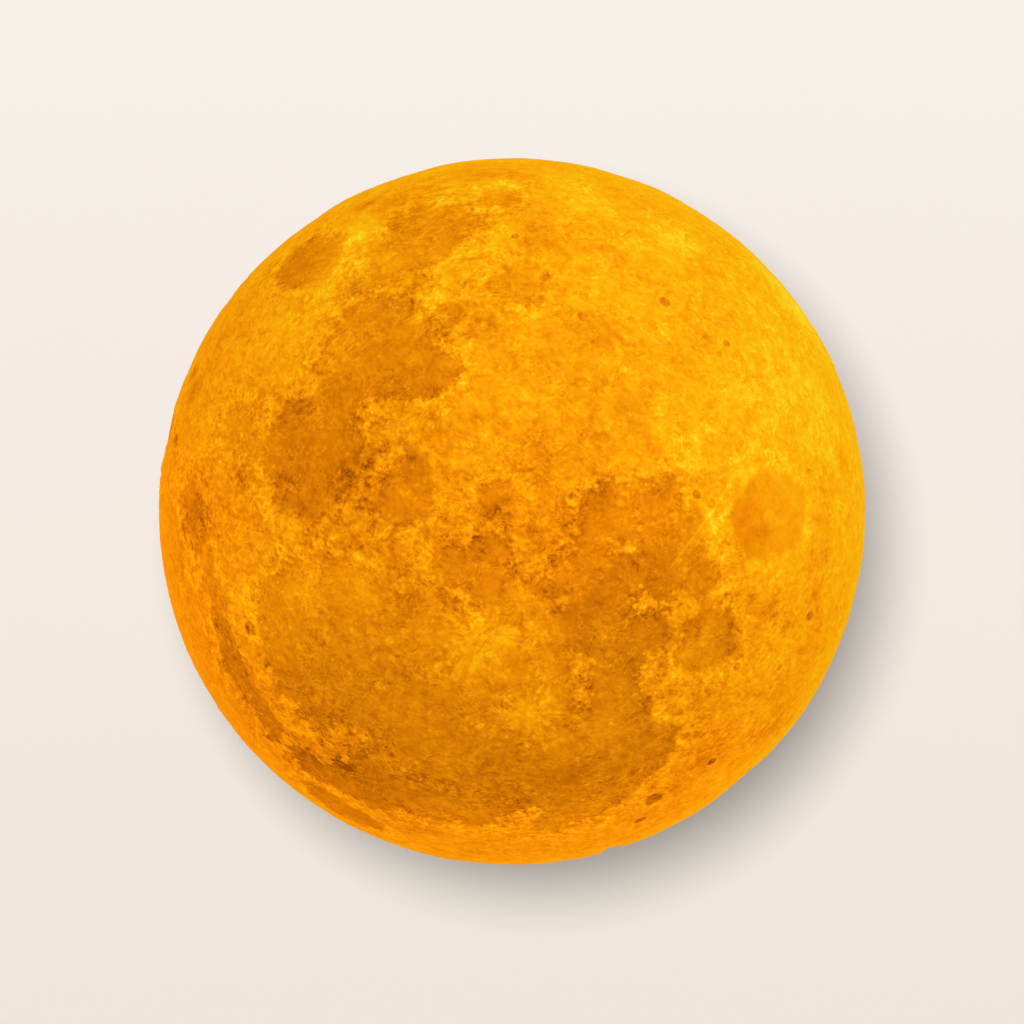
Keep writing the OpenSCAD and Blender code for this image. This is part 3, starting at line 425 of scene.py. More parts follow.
# %% Young craters
# Place, radius of the bright core, reach of the rays, strength and number of rays
RAY_CRATERS = [
    (10.3, -21, 3.0, 11, .95, 5), (7.3, -37.4, 2.1, 7, .85, 5), (23.3, -48, 1.2, 6, .6, 5),
    (-43.3, -11.4, 2, 42, .42, 7), (-8.9, 61, 1.5, 10, .5, 4), (46.7, 39, 1, 7, .4, 4),
    (16, 47, 1, 7, .5, 3), (5, 128, 1.5, 16, .6, 5), (-30, 178, 1.2, 14, .5, 4),
]
print(len(RAY_CRATERS), "craters with rays")

# %% [markdown]
# ## Globe
#
# The real globe is a thin printed ball whose surface rises and falls with the map: sea floors lie
# about half a millimetre low, craters have rims and bowls, and the highlands are rough. A sphere
# primitive has poles where its faces crowd together, so this one starts as a cube. Its faces are
# subdivided and every point is pushed out to the ball, which gives even squares all over. The
# points are drawn a little towards the top, which the photograph shows from close by.

# %% Ball from a cube
FIRST_CUTS = 29
SECOND_CUTS = 3
TOP_DENSITY = 0.3


def take(piece):
    """Leaves edit mode and makes one object the only selected and active one."""
    if bpy.context.mode != "OBJECT":
        bpy.ops.object.mode_set(mode="OBJECT")
    bpy.ops.object.select_all(action="DESELECT")
    piece.select_set(True)
    bpy.context.view_layer.objects.active = piece


def points_of(piece):
    """The object's points as rows of x, y and z."""
    flat = np.empty(len(piece.data.vertices) * 3, dtype=np.float32)
    piece.data.vertices.foreach_get("co", flat)
    return flat.reshape(-1, 3).astype(float)


bpy.ops.object.select_all(action="DESELECT")
bpy.ops.mesh.primitive_cube_add(size=2)
globe = bpy.context.object
globe.name = "globe"
take(globe)
bpy.ops.object.mode_set(mode="EDIT")
bpy.ops.mesh.select_all(action="SELECT")
bpy.ops.mesh.subdivide(number_cuts=FIRST_CUTS)
bpy.ops.mesh.subdivide(number_cuts=SECOND_CUTS)
bpy.ops.object.mode_set(mode="OBJECT")

outward = np.tan(points_of(globe) * math.pi / 4)
outward /= np.linalg.norm(outward, axis=1)[:, None]
from_top = np.arccos(np.clip(outward[:, 2], -1, 1))
around = np.arctan2(outward[:, 1], outward[:, 0])
from_top -= TOP_DENSITY * np.sin(from_top)
outward = np.stack([np.sin(from_top) * np.cos(around), np.sin(from_top) * np.sin(around),
                    np.cos(from_top)], axis=1)
print(len(outward), "points on the ball")

# %% [markdown]
# Each point now gets three soft values from the map: how far inside a sea it lies, how dark that
# sea is, and how bright the ground is otherwise. The first is a distance in degrees, below zero on
# land, and where patches meet a soft maximum joins them. Two layers of smooth noise bend the map a
# little, so that the round patches don't show. The fine, frayed coast comes later, in the shader,
# because the mesh is too coarse for it.

# %% Soft map on the points
COAST_SOFT = 2.0
JOIN_SOFT = 0.8
MAP_BEND = 0.010


def noise_rows(points, size, seed):
    """Smooth random vectors, one for each point, with lumps of about 1 / size."""
    lifts = [Vector((k * seed, -seed, 2 * seed)) for k in (1, 3, 5)]
    return np.array([[noise.noise(Vector(p) * size + lift) for lift in lifts] for p in points])


def angle_to_direction(directions, middle):
    """Angles in degrees from every direction to one of them."""
    return np.degrees(np.arccos(np.clip(directions @ np.array(middle), -1, 1)))


def angle_to(directions, lat, lon):
    """Angles in degrees from every direction to a place on the map."""
    return angle_to_direction(directions, on_map(lat, lon))


def inside(directions, lat, lon, radius, soft):
    """1 inside a round patch, 0 outside, and in between along its edge."""
    return np.clip((radius + soft - angle_to(directions, lat, lon)) / (2 * soft), 0, 1)


bent = outward + MAP_BEND * (noise_rows(outward, 5, 3.1) + noise_rows(outward, 13, 7.7))
bent /= np.linalg.norm(bent, axis=1)[:, None]

joined = np.full(len(outward), 1e-9)
dark_sum = np.zeros(len(outward))
share_sum = np.full(len(outward), 1e-6)
for lat, lon, radius, dark in sea_patches:
    deep = radius - angle_to(bent, lat, lon)
    joined += np.exp(np.clip(deep, -12, 6) / JOIN_SOFT)
    share = np.exp(np.clip(deep, -12, COAST_SOFT) / COAST_SOFT)
    dark_sum += share * dark
    share_sum += share
sea = np.clip(JOIN_SOFT * np.log(joined), -6, 6)
tone = dark_sum / share_sum

bright = np.zeros(len(outward))
for lat, lon, radius, amount in TONES:
    bright += amount * inside(bent, lat, lon, radius, 0.6 * radius + 1)
for lat, lon, radius, dark in DARK_SPOTS:
    bright -= 1.6 * dark * inside(bent, lat, lon, radius, 0.45 * radius + 0.3)
print(round(100 * float((sea > 0).mean())), "% of the points lie in a sea")

# %% [markdown]
# Rays are streaks that run straight out of a young crater. Seen from the crater, each direction
# has its own strength, and every ray fades with distance.

# %% Rays
for lat, lon, core, reach, strength, count in RAY_CRATERS:
    middle = on_map(lat, lon)
    side = middle.orthogonal().normalized()
    across = middle.cross(side)
    distance = angle_to(bent, lat, lon)
    heading = np.arctan2(bent @ np.array(across), bent @ np.array(side))
    near = distance < 3 * reach
    streak = np.zeros(len(outward))
    for i in np.nonzero(near)[0]:
        spoke = Vector((math.cos(heading[i]), math.sin(heading[i]), 0)) * count * 0.7
        along = Vector((lat, lon, distance[i] * 0.04))
        streak[i] = noise.noise(spoke + along) + 0.6 * noise.noise(5 * spoke + 2 * along)
    streak = np.clip(0.35 + 1.8 * streak, 0, 1.6)
    fade = np.exp(-distance / (0.55 * reach))
    bright += near * strength * (np.exp(-(distance / core) ** 2 / 2) + fade * streak)
print("ground from", round(bright.min(), 2), "to", round(bright.max(), 2), "steps of tone")

# %% [markdown]
# Now the relief. Craters are given by place and radius: the large ones of the near side one by
# one, and several hundred small ones at random places, many small and few large, as on the real
# moon.
# The random numbers have a seed, so that every run gives the same globe. A crater is a bowl with a
# raised rim, and the largest ones have a hill in the middle.

# %% Craters
PLACED_CRATERS = [
    (-43.3, -11.4, 2), (9.6, -20, 1.9), (8.1, -38, 1.1), (23.7, -47.4, 1.1), (51.6, -9.4, 1.8),
    (49.6, 17.4, 1.6), (44.3, 16.3, 1.2), (46.7, 44.4, 1.5), (53.6, 56.5, 2), (31.8, 29.9, 1.6),
    (29.7, -4, 1.4), (33.9, 1.2, 1), (27.7, 56, 2.1), (72, 24, 2.4), (70, -50, 2.2), (16, 78, 2),
    (14.5, -11.3, 1.1), (-5.3, -68, 2.6), (-5.5, 5, 2.4), (-11.2, 4, 2.2), (-9.2, -1.8, 2.4),
    (-13.4, -2.8, 1.8), (-18.2, -1.9, 1.6), (-17.6, -40, 1.8), (-11.4, 26.4, 1.8),
    (-14, 22.6, 1.4), (-18, 24, 1.6), (-8.9, 61, 2.1), (-25.3, 60.4, 2.8), (-36, 62, 2.2),
    (-32.5, -5.5, 3.4), (-30, 5, 2), (-41.1, 6, 2.1), (-42.5, 15, 2), (-45, 40, 3),
    (-50.2, -22, 2.3), (-50.5, -4.5, 2.6), (-58.4, -14.4, 3.6), (-44.4, -54.6, 3.3),
    (-34, -58, 2), (-66, 12, 2.8), (-70, -32, 2.6), (-27, 28, 2.2), (-56, 26, 2.4),
]
SMALL_CRATERS = 900
LIMB_VALLEY = (3.9, -93.9)
VALLEY_HALF_W = 2.0
VALLEY_HALF_H = 9.0
VALLEY_DEPTH = 0.9
SEA_DEPTH = 0.45

random.seed(11)
craters = [(on_map(lat, lon), radius, True) for lat, lon, radius in PLACED_CRATERS]
for _ in range(SMALL_CRATERS):
    height = random.uniform(-1, 1)
    turn = random.uniform(0, 2 * math.pi)
    level = math.sqrt(1 - height * height)
    size = min(4.5, 0.55 * random.random() ** -0.55)
    craters.append((Vector((level * math.cos(turn), level * math.sin(turn), height)), size, False))

sea_floor = np.clip(0.5 + sea / 2, 0, 1)
calm = 1 - sea_floor
rise = np.zeros(len(outward))
for middle, radius, placed_by_hand in craters:
    reach = angle_to_direction(outward, middle) / radius
    near = reach < 2.2
    r = reach[near]
    width = GLOBE_R / MM * math.radians(radius)
    bowl = -(0.11 * width + 0.05) * np.clip(1 - r * r, 0, 1) ** 0.8
    rim = 0.030 * width * np.exp(-((r - 1) / 0.22) ** 2)
    hill = 0.05 * width * np.exp(-(r / 0.16) ** 2) if radius > 2.2 else 0
    calmed = 0.75 if placed_by_hand else 0.12 + 0.88 * calm[near]
    rise[near] += calmed * (bowl + rim + hill)

# A steep valley on the limb, which the photograph shows as a nick in the outline
valley = on_map(*LIMB_VALLEY)
sideways = valley.cross(Vector((0, 0, 1))).normalized()
off = np.degrees(np.arcsin(outward @ np.array(sideways))) / VALLEY_HALF_W
over = np.degrees(np.arcsin(np.clip(outward[:, 2] - valley.z, -1, 1))) / VALLEY_HALF_H
this_side = outward @ np.array(valley) > 0
rise -= this_side * VALLEY_DEPTH * np.clip(1 - off ** 2 - over ** 2, 0, 1)
print(len(craters), "craters, deepest", round(rise.min(), 2), "mm")

# %% [markdown]
# The highlands get several sizes of lumps on top. All of it fades out near the opening, where the
# globe is cut flat and sits on its collar.

# %% Push the points out
rough = np.array([noise.fractal(Vector(p) * 7, 0.9, 2.1, 6) for p in outward])
fine = np.array([noise.noise(Vector(p) * 42) for p in outward])
rise += calm * (0.16 * rough + 0.05 * fine) - 0.10
rise -= SEA_DEPTH * sea_floor
from_bottom = np.degrees(np.pi - np.arccos(np.clip(outward[:, 2], -1, 1)))
cut_angle = math.degrees(math.asin(CUT_R / GLOBE_R))
rise *= np.clip((from_bottom - cut_angle - 1) / 4, 0, 1)
rise = np.minimum(rise, 0.15)

centre = np.array([0, 0, globe_z])
placed = centre + outward * (GLOBE_R + rise[:, None] * MM)
globe.data.vertices.foreach_set("co", placed.astype(np.float32).ravel())
for name, values in (("sea", sea), ("tone", tone), ("bright", bright)):
    layer = globe.data.attributes.new(name, "FLOAT", "POINT")
    layer.data.foreach_set("value", values.astype(np.float32))
globe.data.update()
print("relief from", round(rise.min(), 2), "to", round(rise.max(), 2), "mm")

# %% [markdown]
# The ball is cut flat at the bottom with Bisect. The open edge is then drawn inwards to the bore
# and up, which makes the flat land and the neck. The inner wall needs no relief, so it is a coarse
# sphere of its own, turned inside out and joined to the neck with a bridge of faces.

# %% Opening, neck and inner wall
BORE_R = 27 * MM
NECK_R = 28.9 * MM
NECK_H = 7 * MM
WALL = 1.8 * MM


def scale_about_axis(factor, z):
    """Scales what is selected towards or away from the lamp's axis."""
    bpy.ops.transform.resize(value=(factor, factor, 1), center_override=(0, 0, z))


take(globe)
bpy.ops.object.mode_set(mode="EDIT")
bpy.ops.mesh.select_all(action="SELECT")
bpy.ops.mesh.bisect(plane_co=(0, 0, seat_z), plane_no=(0, 0, 1), clear_inner=True)
bpy.ops.mesh.extrude_region()
scale_about_axis(BORE_R / CUT_R, seat_z)
bpy.ops.mesh.extrude_region()
bpy.ops.transform.translate(value=(0, 0, NECK_H))
bpy.ops.mesh.extrude_region()
scale_about_axis(NECK_R / BORE_R, seat_z + NECK_H)
inner_r = GLOBE_R - WALL
joint_z = globe_z - math.sqrt(inner_r ** 2 - NECK_R ** 2)
bpy.ops.mesh.extrude_region()
bpy.ops.transform.translate(value=(0, 0, joint_z + 1 * MM - seat_z - NECK_H))
bpy.ops.object.mode_set(mode="OBJECT")

bpy.ops.object.select_all(action="DESELECT")
bpy.ops.mesh.primitive_uv_sphere_add(segments=96, ring_count=48, radius=inner_r,
                                     location=(0, 0, globe_z))
inner = bpy.context.object
bpy.ops.object.transform_apply(location=True, rotation=True, scale=True)
bpy.ops.object.mode_set(mode="EDIT")
bpy.ops.mesh.select_all(action="SELECT")
bpy.ops.mesh.bisect(plane_co=(0, 0, joint_z), plane_no=(0, 0, 1), clear_inner=True)
bpy.ops.mesh.select_all(action="SELECT")
bpy.ops.mesh.flip_normals()
bpy.ops.object.mode_set(mode="OBJECT")

take(globe)
inner.select_set(True)
bpy.ops.object.join()
bpy.ops.object.mode_set(mode="EDIT")
bpy.ops.mesh.select_mode(type="EDGE")
bpy.ops.mesh.select_all(action="DESELECT")
bpy.ops.mesh.select_non_manifold()
bpy.ops.mesh.bridge_edge_loops()
bpy.ops.object.mode_set(mode="OBJECT")
bpy.ops.object.shade_smooth_by_angle(angle=math.radians(50))
print(len(globe.data.polygons), "faces on the globe")

# %% [markdown]
# ## Finish of the globe
#
# Lit from inside, the printed plastic glows orange: deep in the seas, yellow on the highlands,
# where the wall lets more light through. The glow is an emission with the same pattern as the
# surface colour. The shader adds what the points can't hold: frayed coasts, mottled ground, small
# bright craters, painted shade of small craters, painted light and shade on the relief, and a fine
# grain. Its helpers work on places on a ball of radius 1, and the three soft values of the points
# come in as attributes.

# %% Glowing plastic
GLOW = 0.82
LIT = 0.21
HIGHLAND = 0.545
SEA_DROP = 0.33
GRAIN_TURN = 45

moonlit, moonlit_shader = new_finish("moonlit_plastic")
at_centre = node(moonlit, "Mapping", Vector=node(moonlit, "TexCoord", output=3),
                 Location=(0, 0, -globe_z / GLOBE_R), Scale=(1 / GLOBE_R,) * 3)
sea_value = node(moonlit, "Attribute", output=2, settings={"attribute_name": "sea"})
tone_value = node(moonlit, "Attribute", output=2, settings={"attribute_name": "tone"})
bright_value = node(moonlit, "Attribute", output=2, settings={"attribute_name": "bright"})


def grain(scale, detail, roughness, distortion=0.0):
    """Noise around zero on the unit ball."""
    made = node(moonlit, "TexNoise", Vector=at_centre, Scale=scale, Detail=detail,
                Roughness=roughness, Distortion=distortion)
    return calc(moonlit, "SUBTRACT", made, 0.5)


def plus(*values):
    """Adds several values."""
    total = values[0]
    for value in values[1:]:
        total = calc(moonlit, "ADD", total, value)
    return total


def times(a, b):
    """Multiplies two values."""
    return calc(moonlit, "MULTIPLY", a, b)


def vector(operation, a, b=(0, 0, 0), output="Vector"):
    """One step of arithmetic with vectors."""
    made = moonlit.node_tree.nodes.new("ShaderNodeVectorMath")
    made.operation = operation
    plug(moonlit, made.inputs[0], a)
    plug(moonlit, made.inputs[1], b)
    return made.outputs[output]


def cells(place, scale):
    """Voronoi cells: how far the nearest middle is, and two random numbers of its cell."""
    made = moonlit.node_tree.nodes.new("ShaderNodeTexVoronoi")
    plug(moonlit, made.inputs["Vector"], place)
    made.inputs["Scale"].default_value = scale
    colour = moonlit.node_tree.nodes.new("ShaderNodeSeparateColor")
    plug(moonlit, colour.inputs[0], made.outputs["Color"])
    return made.outputs["Distance"], colour.outputs[0], colour.outputs[1]


print(len(moonlit.node_tree.nodes), "nodes so far")

# %% [markdown]
# A coast runs where the distance inside a sea passes zero. Noise of two sizes frays it, more in
# some places than in others. Three more sizes of noise mottle the ground, most of all on land and
# near the coasts, and less towards the limb, where the photograph is blurred.

# %% Coasts and mottled ground
ragged = soft_step(moonlit, grain(2.6, 1, 0.5), -0.10, 0.12, 0.35, 1.0)
fray = times(plus(times(grain(9, 4, 0.68), 12), times(grain(45, 1, 0.7), 5)), ragged)
frayed = plus(sea_value, fray)
cover = soft_step(moonlit, frayed, -0.5, 0.6)
patchy = plus(1.0, times(grain(5, 6, 0.6), 0.9))
drop = times(times(times(cover, tone_value), patchy), SEA_DROP)
land = calc(moonlit, "SUBTRACT", 1.0, cover)
off_coast = calc(moonlit, "ABSOLUTE", plus(sea_value, 1.0))
near_coast = soft_step(moonlit, off_coast, 0.5, 4.0, 1.0, 0.0)
rugged = plus(0.52, times(land, 0.26), times(near_coast, 0.34))
seen_level = node(moonlit, "SeparateXYZ", output=2, Vector=at_centre)
rugged = times(rugged, soft_step(moonlit, seen_level, 0.15, 0.65, 0.65, 1.0))

mottle = plus(times(grain(7, 2, 0.8), 0.40), times(grain(25, 1.5, 0.9, 0.4), 0.95),
              times(grain(62, 0, 0.7, 0.8), 0.30))
mottle = times(mottle, rugged)


def crest(value, middle, width):
    """1 where the value passes the middle, 0 farther away."""
    off = calc(moonlit, "ABSOLUTE", calc(moonlit, "SUBTRACT", value, middle))
    return soft_step(moonlit, off, 0.0, width, 1.0, 0.0)


SHORE_GLOW = 0.10
WRINKLE_GLOW = 0.06
here_and_there = soft_step(moonlit, grain(16, 4, 0.6), -0.1, 0.15)
shore = times(crest(frayed, -1.2, 0.8), times(here_and_there, SHORE_GLOW))
wrinkles = times(crest(grain(4.5, 6, 0.55, 1.5), 0.0, 0.02), times(cover, WRINKLE_GLOW))
print(len(moonlit.node_tree.nodes), "nodes so far")

# %% [markdown]
# In places the ground is folded. The folds all run along one slanting grain in the photograph, so
# their noise is stretched that way. Each fold gets a painted highlight, a bright stroke where the
# noise passes a level, and painted shade beside it, a dark stroke where it passes the opposite
# level.

# %% Folds, with painted highlight and shade
def along_grain(stretch):
    """The place on the unit ball, drawn out along the diagonal of the photograph."""
    return node(moonlit, "Mapping", settings={"vector_type": "TEXTURE"}, Vector=at_centre,
                Rotation=(0, 0, math.radians(GRAIN_TURN)), Scale=(stretch, 1, 1))


def folds(scale, level, width, where):
    """Painted highlights as short bright strokes, with painted shade beside them, where the ground
    is folded.
    """
    wave = calc(moonlit, "SUBTRACT", node(
        moonlit, "TexNoise", Vector=along_grain(1.6), Scale=scale, Detail=1.0, Roughness=0.6,
        Distortion=0.8), 0.5)
    pair = calc(moonlit, "SUBTRACT", crest(wave, level, width), crest(wave, -level, width))
    return times(pair, where)


folded = soft_step(moonlit, plus(grain(8, 4, 0.7), times(near_coast, 0.07)), -0.10, 0.12)
# Painted highlight and shade along the folds
fold_light_and_shade = plus(times(folds(17, 0.035, 0.035, folded), 0.12),
                  times(folds(36, 0.05, 0.05, folded), 0.14))
print(len(moonlit.node_tree.nodes), "nodes so far")

# %% [markdown]
# Small craters show as bright dots in the seas, and on the highlands as dark strokes of painted
# shade. Voronoi cells place them: the distance to a cell's middle draws the dot, and the cell's
# own random colour decides whether it is there at all.

# %% Dots and strokes
def dots(scale, size, chance, stretch=1.0):
    """1 on scattered dots, drawn out along the grain of the ground, and 0 elsewhere."""
    moved = along_grain(stretch)
    wavy = node(moonlit, "TexNoise", Vector=at_centre, output=1, Scale=scale * 1.3, Detail=2.0)
    warped = vector("ADD", vector("MULTIPLY", wavy, (0.6 / scale,) * 3), moved)
    distance, picked, _ = cells(warped, scale)
    spot = soft_step(moonlit, distance, size * 0.5, size, 1.0, 0.0)
    present = soft_step(moonlit, picked, 1 - chance, 1 - chance * 0.8)
    return times(spot, present)


bright_dots = plus(times(dots(26, 0.17, 0.9, 1.7), 0.20), times(dots(48, 0.22, 0.8, 2.2), 0.17))
# Painted shade of small craters on the highlands
crater_shade_strokes = plus(times(dots(27, 0.18, 0.35, 2.0), 0.16), times(dots(52, 0.24, 0.4, 2.0), 0.11))
crater_shade_strokes = times(crater_shade_strokes, plus(0.4, times(land, 0.6)))
print(len(moonlit.node_tree.nodes), "nodes so far")

# %% [markdown]
# The print's relief is also painted into the glow as shading from one fixed direction: ground that
# faces that way is painted brighter, ground that faces away darker. A Bump node gives the tilted
# normal, and a dot product with the fixed direction turns the tilt into painted light and shade.

# %% Painted shading of the relief
TOWARDS_PAINTED_LIGHT = (0.6, 0.75, 0.3)
STEEPEST = 0.5
SLOPE_SHADING = 0.30


def crater_field(scale, share):
    """Rims and bowls of craters, one in each Voronoi cell that the share lets through."""
    distance, picked, size = cells(at_centre, scale)
    reach = calc(moonlit, "DIVIDE", distance, plus(0.12, times(size, 0.3)))
    bowl = soft_step(moonlit, reach, 0.2, 1.0, -1.0, 0.35)
    skirt = soft_step(moonlit, reach, 1.0, 1.7, 0.0, -0.35)
    present = soft_step(moonlit, picked, 1 - share, 1.02 - share)
    return times(plus(bowl, skirt), present)


height_map = plus(times(crater_field(16, 0.4), 0.012), times(crater_field(36, 0.5), 0.006),
                  times(crater_field(70, 0.4), 0.0026), times(grain(20, 2, 0.75), 0.018))
tilted = node(moonlit, "Bump", Height=height_map, Distance=GLOBE_R, Strength=1.0)
tilt = vector("SUBTRACT", tilted, node(moonlit, "NewGeometry", output=1))
# Painted shading: the tilt is lit from one fixed direction inside the colour
facing = vector("DOT_PRODUCT", tilt, TOWARDS_PAINTED_LIGHT, "Value")
facing = calc(moonlit, "MINIMUM", calc(moonlit, "MAXIMUM", facing, -STEEPEST), STEEPEST)
painted_slope_shading = times(times(facing, SLOPE_SHADING), rugged)
print(len(moonlit.node_tree.nodes), "nodes so far")

# %% [markdown]
# A few craters have crisp dark floors with a pale edge, too small for the points of the mesh. The
# distance to the nearest one, roughened by noise, draws floor and edge.

# %% Dark crater floors
def dark_floors(places):
    """How far every point is from the nearest floor, counted in that floor's radius."""
    nearest = 9.0
    for lat, lon, radius in places:
        away = vector("DISTANCE", at_centre, on_map(lat, lon), "Value")
        nearest = calc(moonlit, "MINIMUM", nearest, times(away, 1 / math.radians(radius)))
    return nearest


floor_reach = plus(dark_floors(DARK_FLOORS), times(grain(30, 3, 0.6), 0.8))
floors = plus(soft_step(moonlit, floor_reach, 0.65, 1.0, -0.30, 0.0),
              times(crest(floor_reach, 1.2, 0.3), 0.07))
print(len(moonlit.node_tree.nodes), "nodes so far")

# %% [markdown]
# The finest rays are drawn in the shader too. Around a young crater, noise that depends on the
# heading gives straight spokes, and it fades with distance. A few single rays lie between two
# places, so the distance to their great circle draws them.

# %% Spokes and single rays
BURSTS = [
    (10, -20.6, 15, 5, .14), (7.3, -37.4, 12, 5, .17), (23.5, -47.6, 7, 3, .10),
    (-43.3, -11.4, 26, 5, .05), (-8.9, 61, 9, 3, .08),
]
SINGLE_RAYS = [
    (-43.1, -14.3, -30.1, -21.4, .9, .15), (-39.2, -13.2, -19.9, -24.2, .35, .12),
    (-21.5, 29.9, -32.1, 19.4, .35, .10), (-35.1, 21.3, -38.8, 11.7, .35, .10),
]


def along(direction):
    """How far every point lies along a direction."""
    return vector("DOT_PRODUCT", at_centre, direction, "Value")


def burst(lat, lon, reach, count):
    """Bright spokes straight out of a crater, up to a reach in degrees."""
    middle = on_map(lat, lon)
    side = middle.orthogonal().normalized()
    flat = node(moonlit, "CombineXYZ", X=along(side), Y=along(middle.cross(side)))
    distance = times(vector("LENGTH", flat, output="Value"), 1 / math.radians(reach))
    spokes = vector("MULTIPLY", vector("NORMALIZE", flat), (count,) * 3)
    outwards = node(moonlit, "CombineXYZ", X=lat, Y=lon, Z=times(distance, 2.5))
    streak = node(moonlit, "TexNoise", Vector=vector("ADD", spokes, outwards), Scale=1.0,
                  Detail=1.0, Roughness=0.7)
    fade = times(soft_step(moonlit, distance, 0.3, 1.0, 1.0, 0.0),
                 soft_step(moonlit, distance, 0.05, 0.35))
    broken = soft_step(moonlit, grain(26, 1, 0.6), -0.12, 0.08)
    shown = times(times(soft_step(moonlit, streak, 0.50, 0.64), fade), broken)
    return times(shown, soft_step(moonlit, along(middle), 0.2, 0.5))


def single_ray(begin, end, width):
    """A bright line between two places, with a half width in degrees."""
    off = calc(moonlit, "ABSOLUTE", along(begin.cross(end).normalized()))
    half_length = begin.angle(end) / 2
    distance = vector("DISTANCE", at_centre, (begin + end).normalized(), "Value")
    line = soft_step(moonlit, off, 0.0, math.radians(width), 1.0, 0.0)
    ends = soft_step(moonlit, distance, 0.6 * half_length, 1.1 * half_length, 1.0, 0.0)
    return times(line, ends)


rays = 0.0
for lat, lon, reach, count, strength in BURSTS:
    rays = plus(rays, times(burst(lat, lon, reach, count), strength))
for lat, lon, far_lat, far_lon, width, strength in SINGLE_RAYS:
    line = single_ray(on_map(lat, lon), on_map(far_lat, far_lon), width)
    rays = plus(rays, times(line, strength))
print(len(moonlit.node_tree.nodes), "nodes so far")

# %% [markdown]
# One plain in the south is round, even and deeper in colour, with a crisp edge. Two overlapping
# circles make it, a little longer towards the limb, and the ground's texture is quieter inside.

# %% Round plain
PLAIN = [(-42.3, -24, 7.3), (-45.8, -26.4, 7.3)]
plain_reach = plus(dark_floors(PLAIN), times(grain(10, 3, 0.65), 0.45))
plain = soft_step(moonlit, plain_reach, 0.84, 1.02, 1.0, 0.0)
plain_tone = plus(times(plain, -0.155), times(crest(plain_reach, 1.15, 0.25), 0.04))
quiet = calc(moonlit, "SUBTRACT", 0.72, times(plain, 0.42))
print(len(moonlit.node_tree.nodes), "nodes so far")

# %% [markdown]
# Last come the broad tones. The globe is painted brighter and yellower towards the right and the
# top, as painted light from the upper right, and its rim gets a painted brighter band. All the
# parts are added to one value from 0 to 1, and a ramp turns it into the orange tones.

# %% Value and colour
# Painted light: the globe brighter towards the right and the top, and round its rim
PAINTED_LIGHT_RIGHT = 0.11
PAINTED_LIGHT_TOP = 0.07
PAINTED_RIM_LIGHT = 0.085
TONE_STEP = 0.20

across_x = node(moonlit, "SeparateXYZ", output=0, Vector=at_centre)
across_y = node(moonlit, "SeparateXYZ", output=1, Vector=at_centre)
# A painted brighter band round the limb
painted_rim_light = soft_step(moonlit, seen_level, 0.10, 0.34, PAINTED_RIM_LIGHT, 0.0)

# The texture holds real mottle and bright dots, and the painted light and shade of relief, folds
# and small craters
texture = plus(mottle, painted_slope_shading, fold_light_and_shade, bright_dots, times(crater_shade_strokes, -1))
# The value holds painted light: brighter towards the right, the top and the rim
value = plus(HIGHLAND, times(texture, quiet), shore, wrinkles, floors, rays, plain_tone,
             times(bright_value, TONE_STEP), times(across_x, PAINTED_LIGHT_RIGHT),
             times(across_y, PAINTED_LIGHT_TOP), painted_rim_light)
value = calc(moonlit, "SUBTRACT", value, drop, clamp=True)
moon_colour = ramp(moonlit, value, [
    (0.00, screen(148, 72, 4)), (0.20, screen(202, 110, 5)), (0.38, screen(233, 134, 6)),
    (0.54, screen(251, 156, 8)), (0.76, screen(253, 186, 13)), (1.00, screen(253, 222, 40))])

# %% [markdown]
# At the same brightness, not all of the photograph has the same hue. The seas of its lower half
# and the ground at the upper left are more olive, the lower limb and the middle are redder.
# Multiplying only the red part of the colour puts that right.

# %% Tint
OLIVE = 0.955
REDDER = 1.08


def spread(x, y, near, far):
    """1 around a place in the photograph, 0 farther away, in radii of the globe."""
    off = node(moonlit, "CombineXYZ", X=plus(across_x, -x), Y=plus(across_y, -y))
    return soft_step(moonlit, vector("LENGTH", off, output="Value"), near, far, 1.0, 0.0)


def tint(share, red):
    """Multiplies the red part of the colour where the share is 1."""
    return node(moonlit, "MixRGB", settings={"blend_type": "MULTIPLY"}, Fac=share,
                Color1=moon_colour, Color2=(red, 1, 1, 1))


low_seas = times(cover, soft_step(moonlit, across_y, -0.1, -0.4))
low_side = soft_step(moonlit, plus(times(across_x, -0.45), times(across_y, -0.90)), 0.1, 0.4)
low_limb = times(soft_step(moonlit, seen_level, 0.35, 0.75, 1.0, 0.0), low_side)
moon_colour = tint(plus(low_seas, spread(-0.55, 0.85, 0.2, 0.75)), OLIVE)
moon_colour = tint(plus(low_limb, times(spread(0.14, -0.1, 0.1, 0.45), 0.35)), REDDER)
print(len(moonlit.node_tree.nodes), "nodes so far")

# %% [markdown]
# The colour goes to the emission in full and to the lit surface as a small share, so that the
# studio light adds little to the glow. A fine grain tilts the surface. The piece then rides on the
# lamp's body in place of the solid globe.

# %% Glow, grain and mount
lit_share = node(moonlit, "MixRGB", settings={"blend_type": "MULTIPLY"}, Fac=1.0,
                 Color1=moon_colour, Color2=(LIT, LIT, LIT, 1))
plug(moonlit, moonlit_shader.inputs["Base Color"], lit_share)
plug(moonlit, moonlit_shader.inputs["Emission Color"], moon_colour)
moonlit_shader.inputs["Emission Strength"].default_value = GLOW
moonlit_shader.inputs["Roughness"].default_value = 0.7
moonlit_shader.inputs["Specular IOR Level"].default_value = 0.0
surface = plus(grain(38, 1.5, 0.7), times(grain(110, 0, 0.6), 0.15))
relief(moonlit, moonlit_shader, surface, 0.9 * MM, 0.5)

globe.data.materials.clear()
globe.data.materials.append(moonlit)
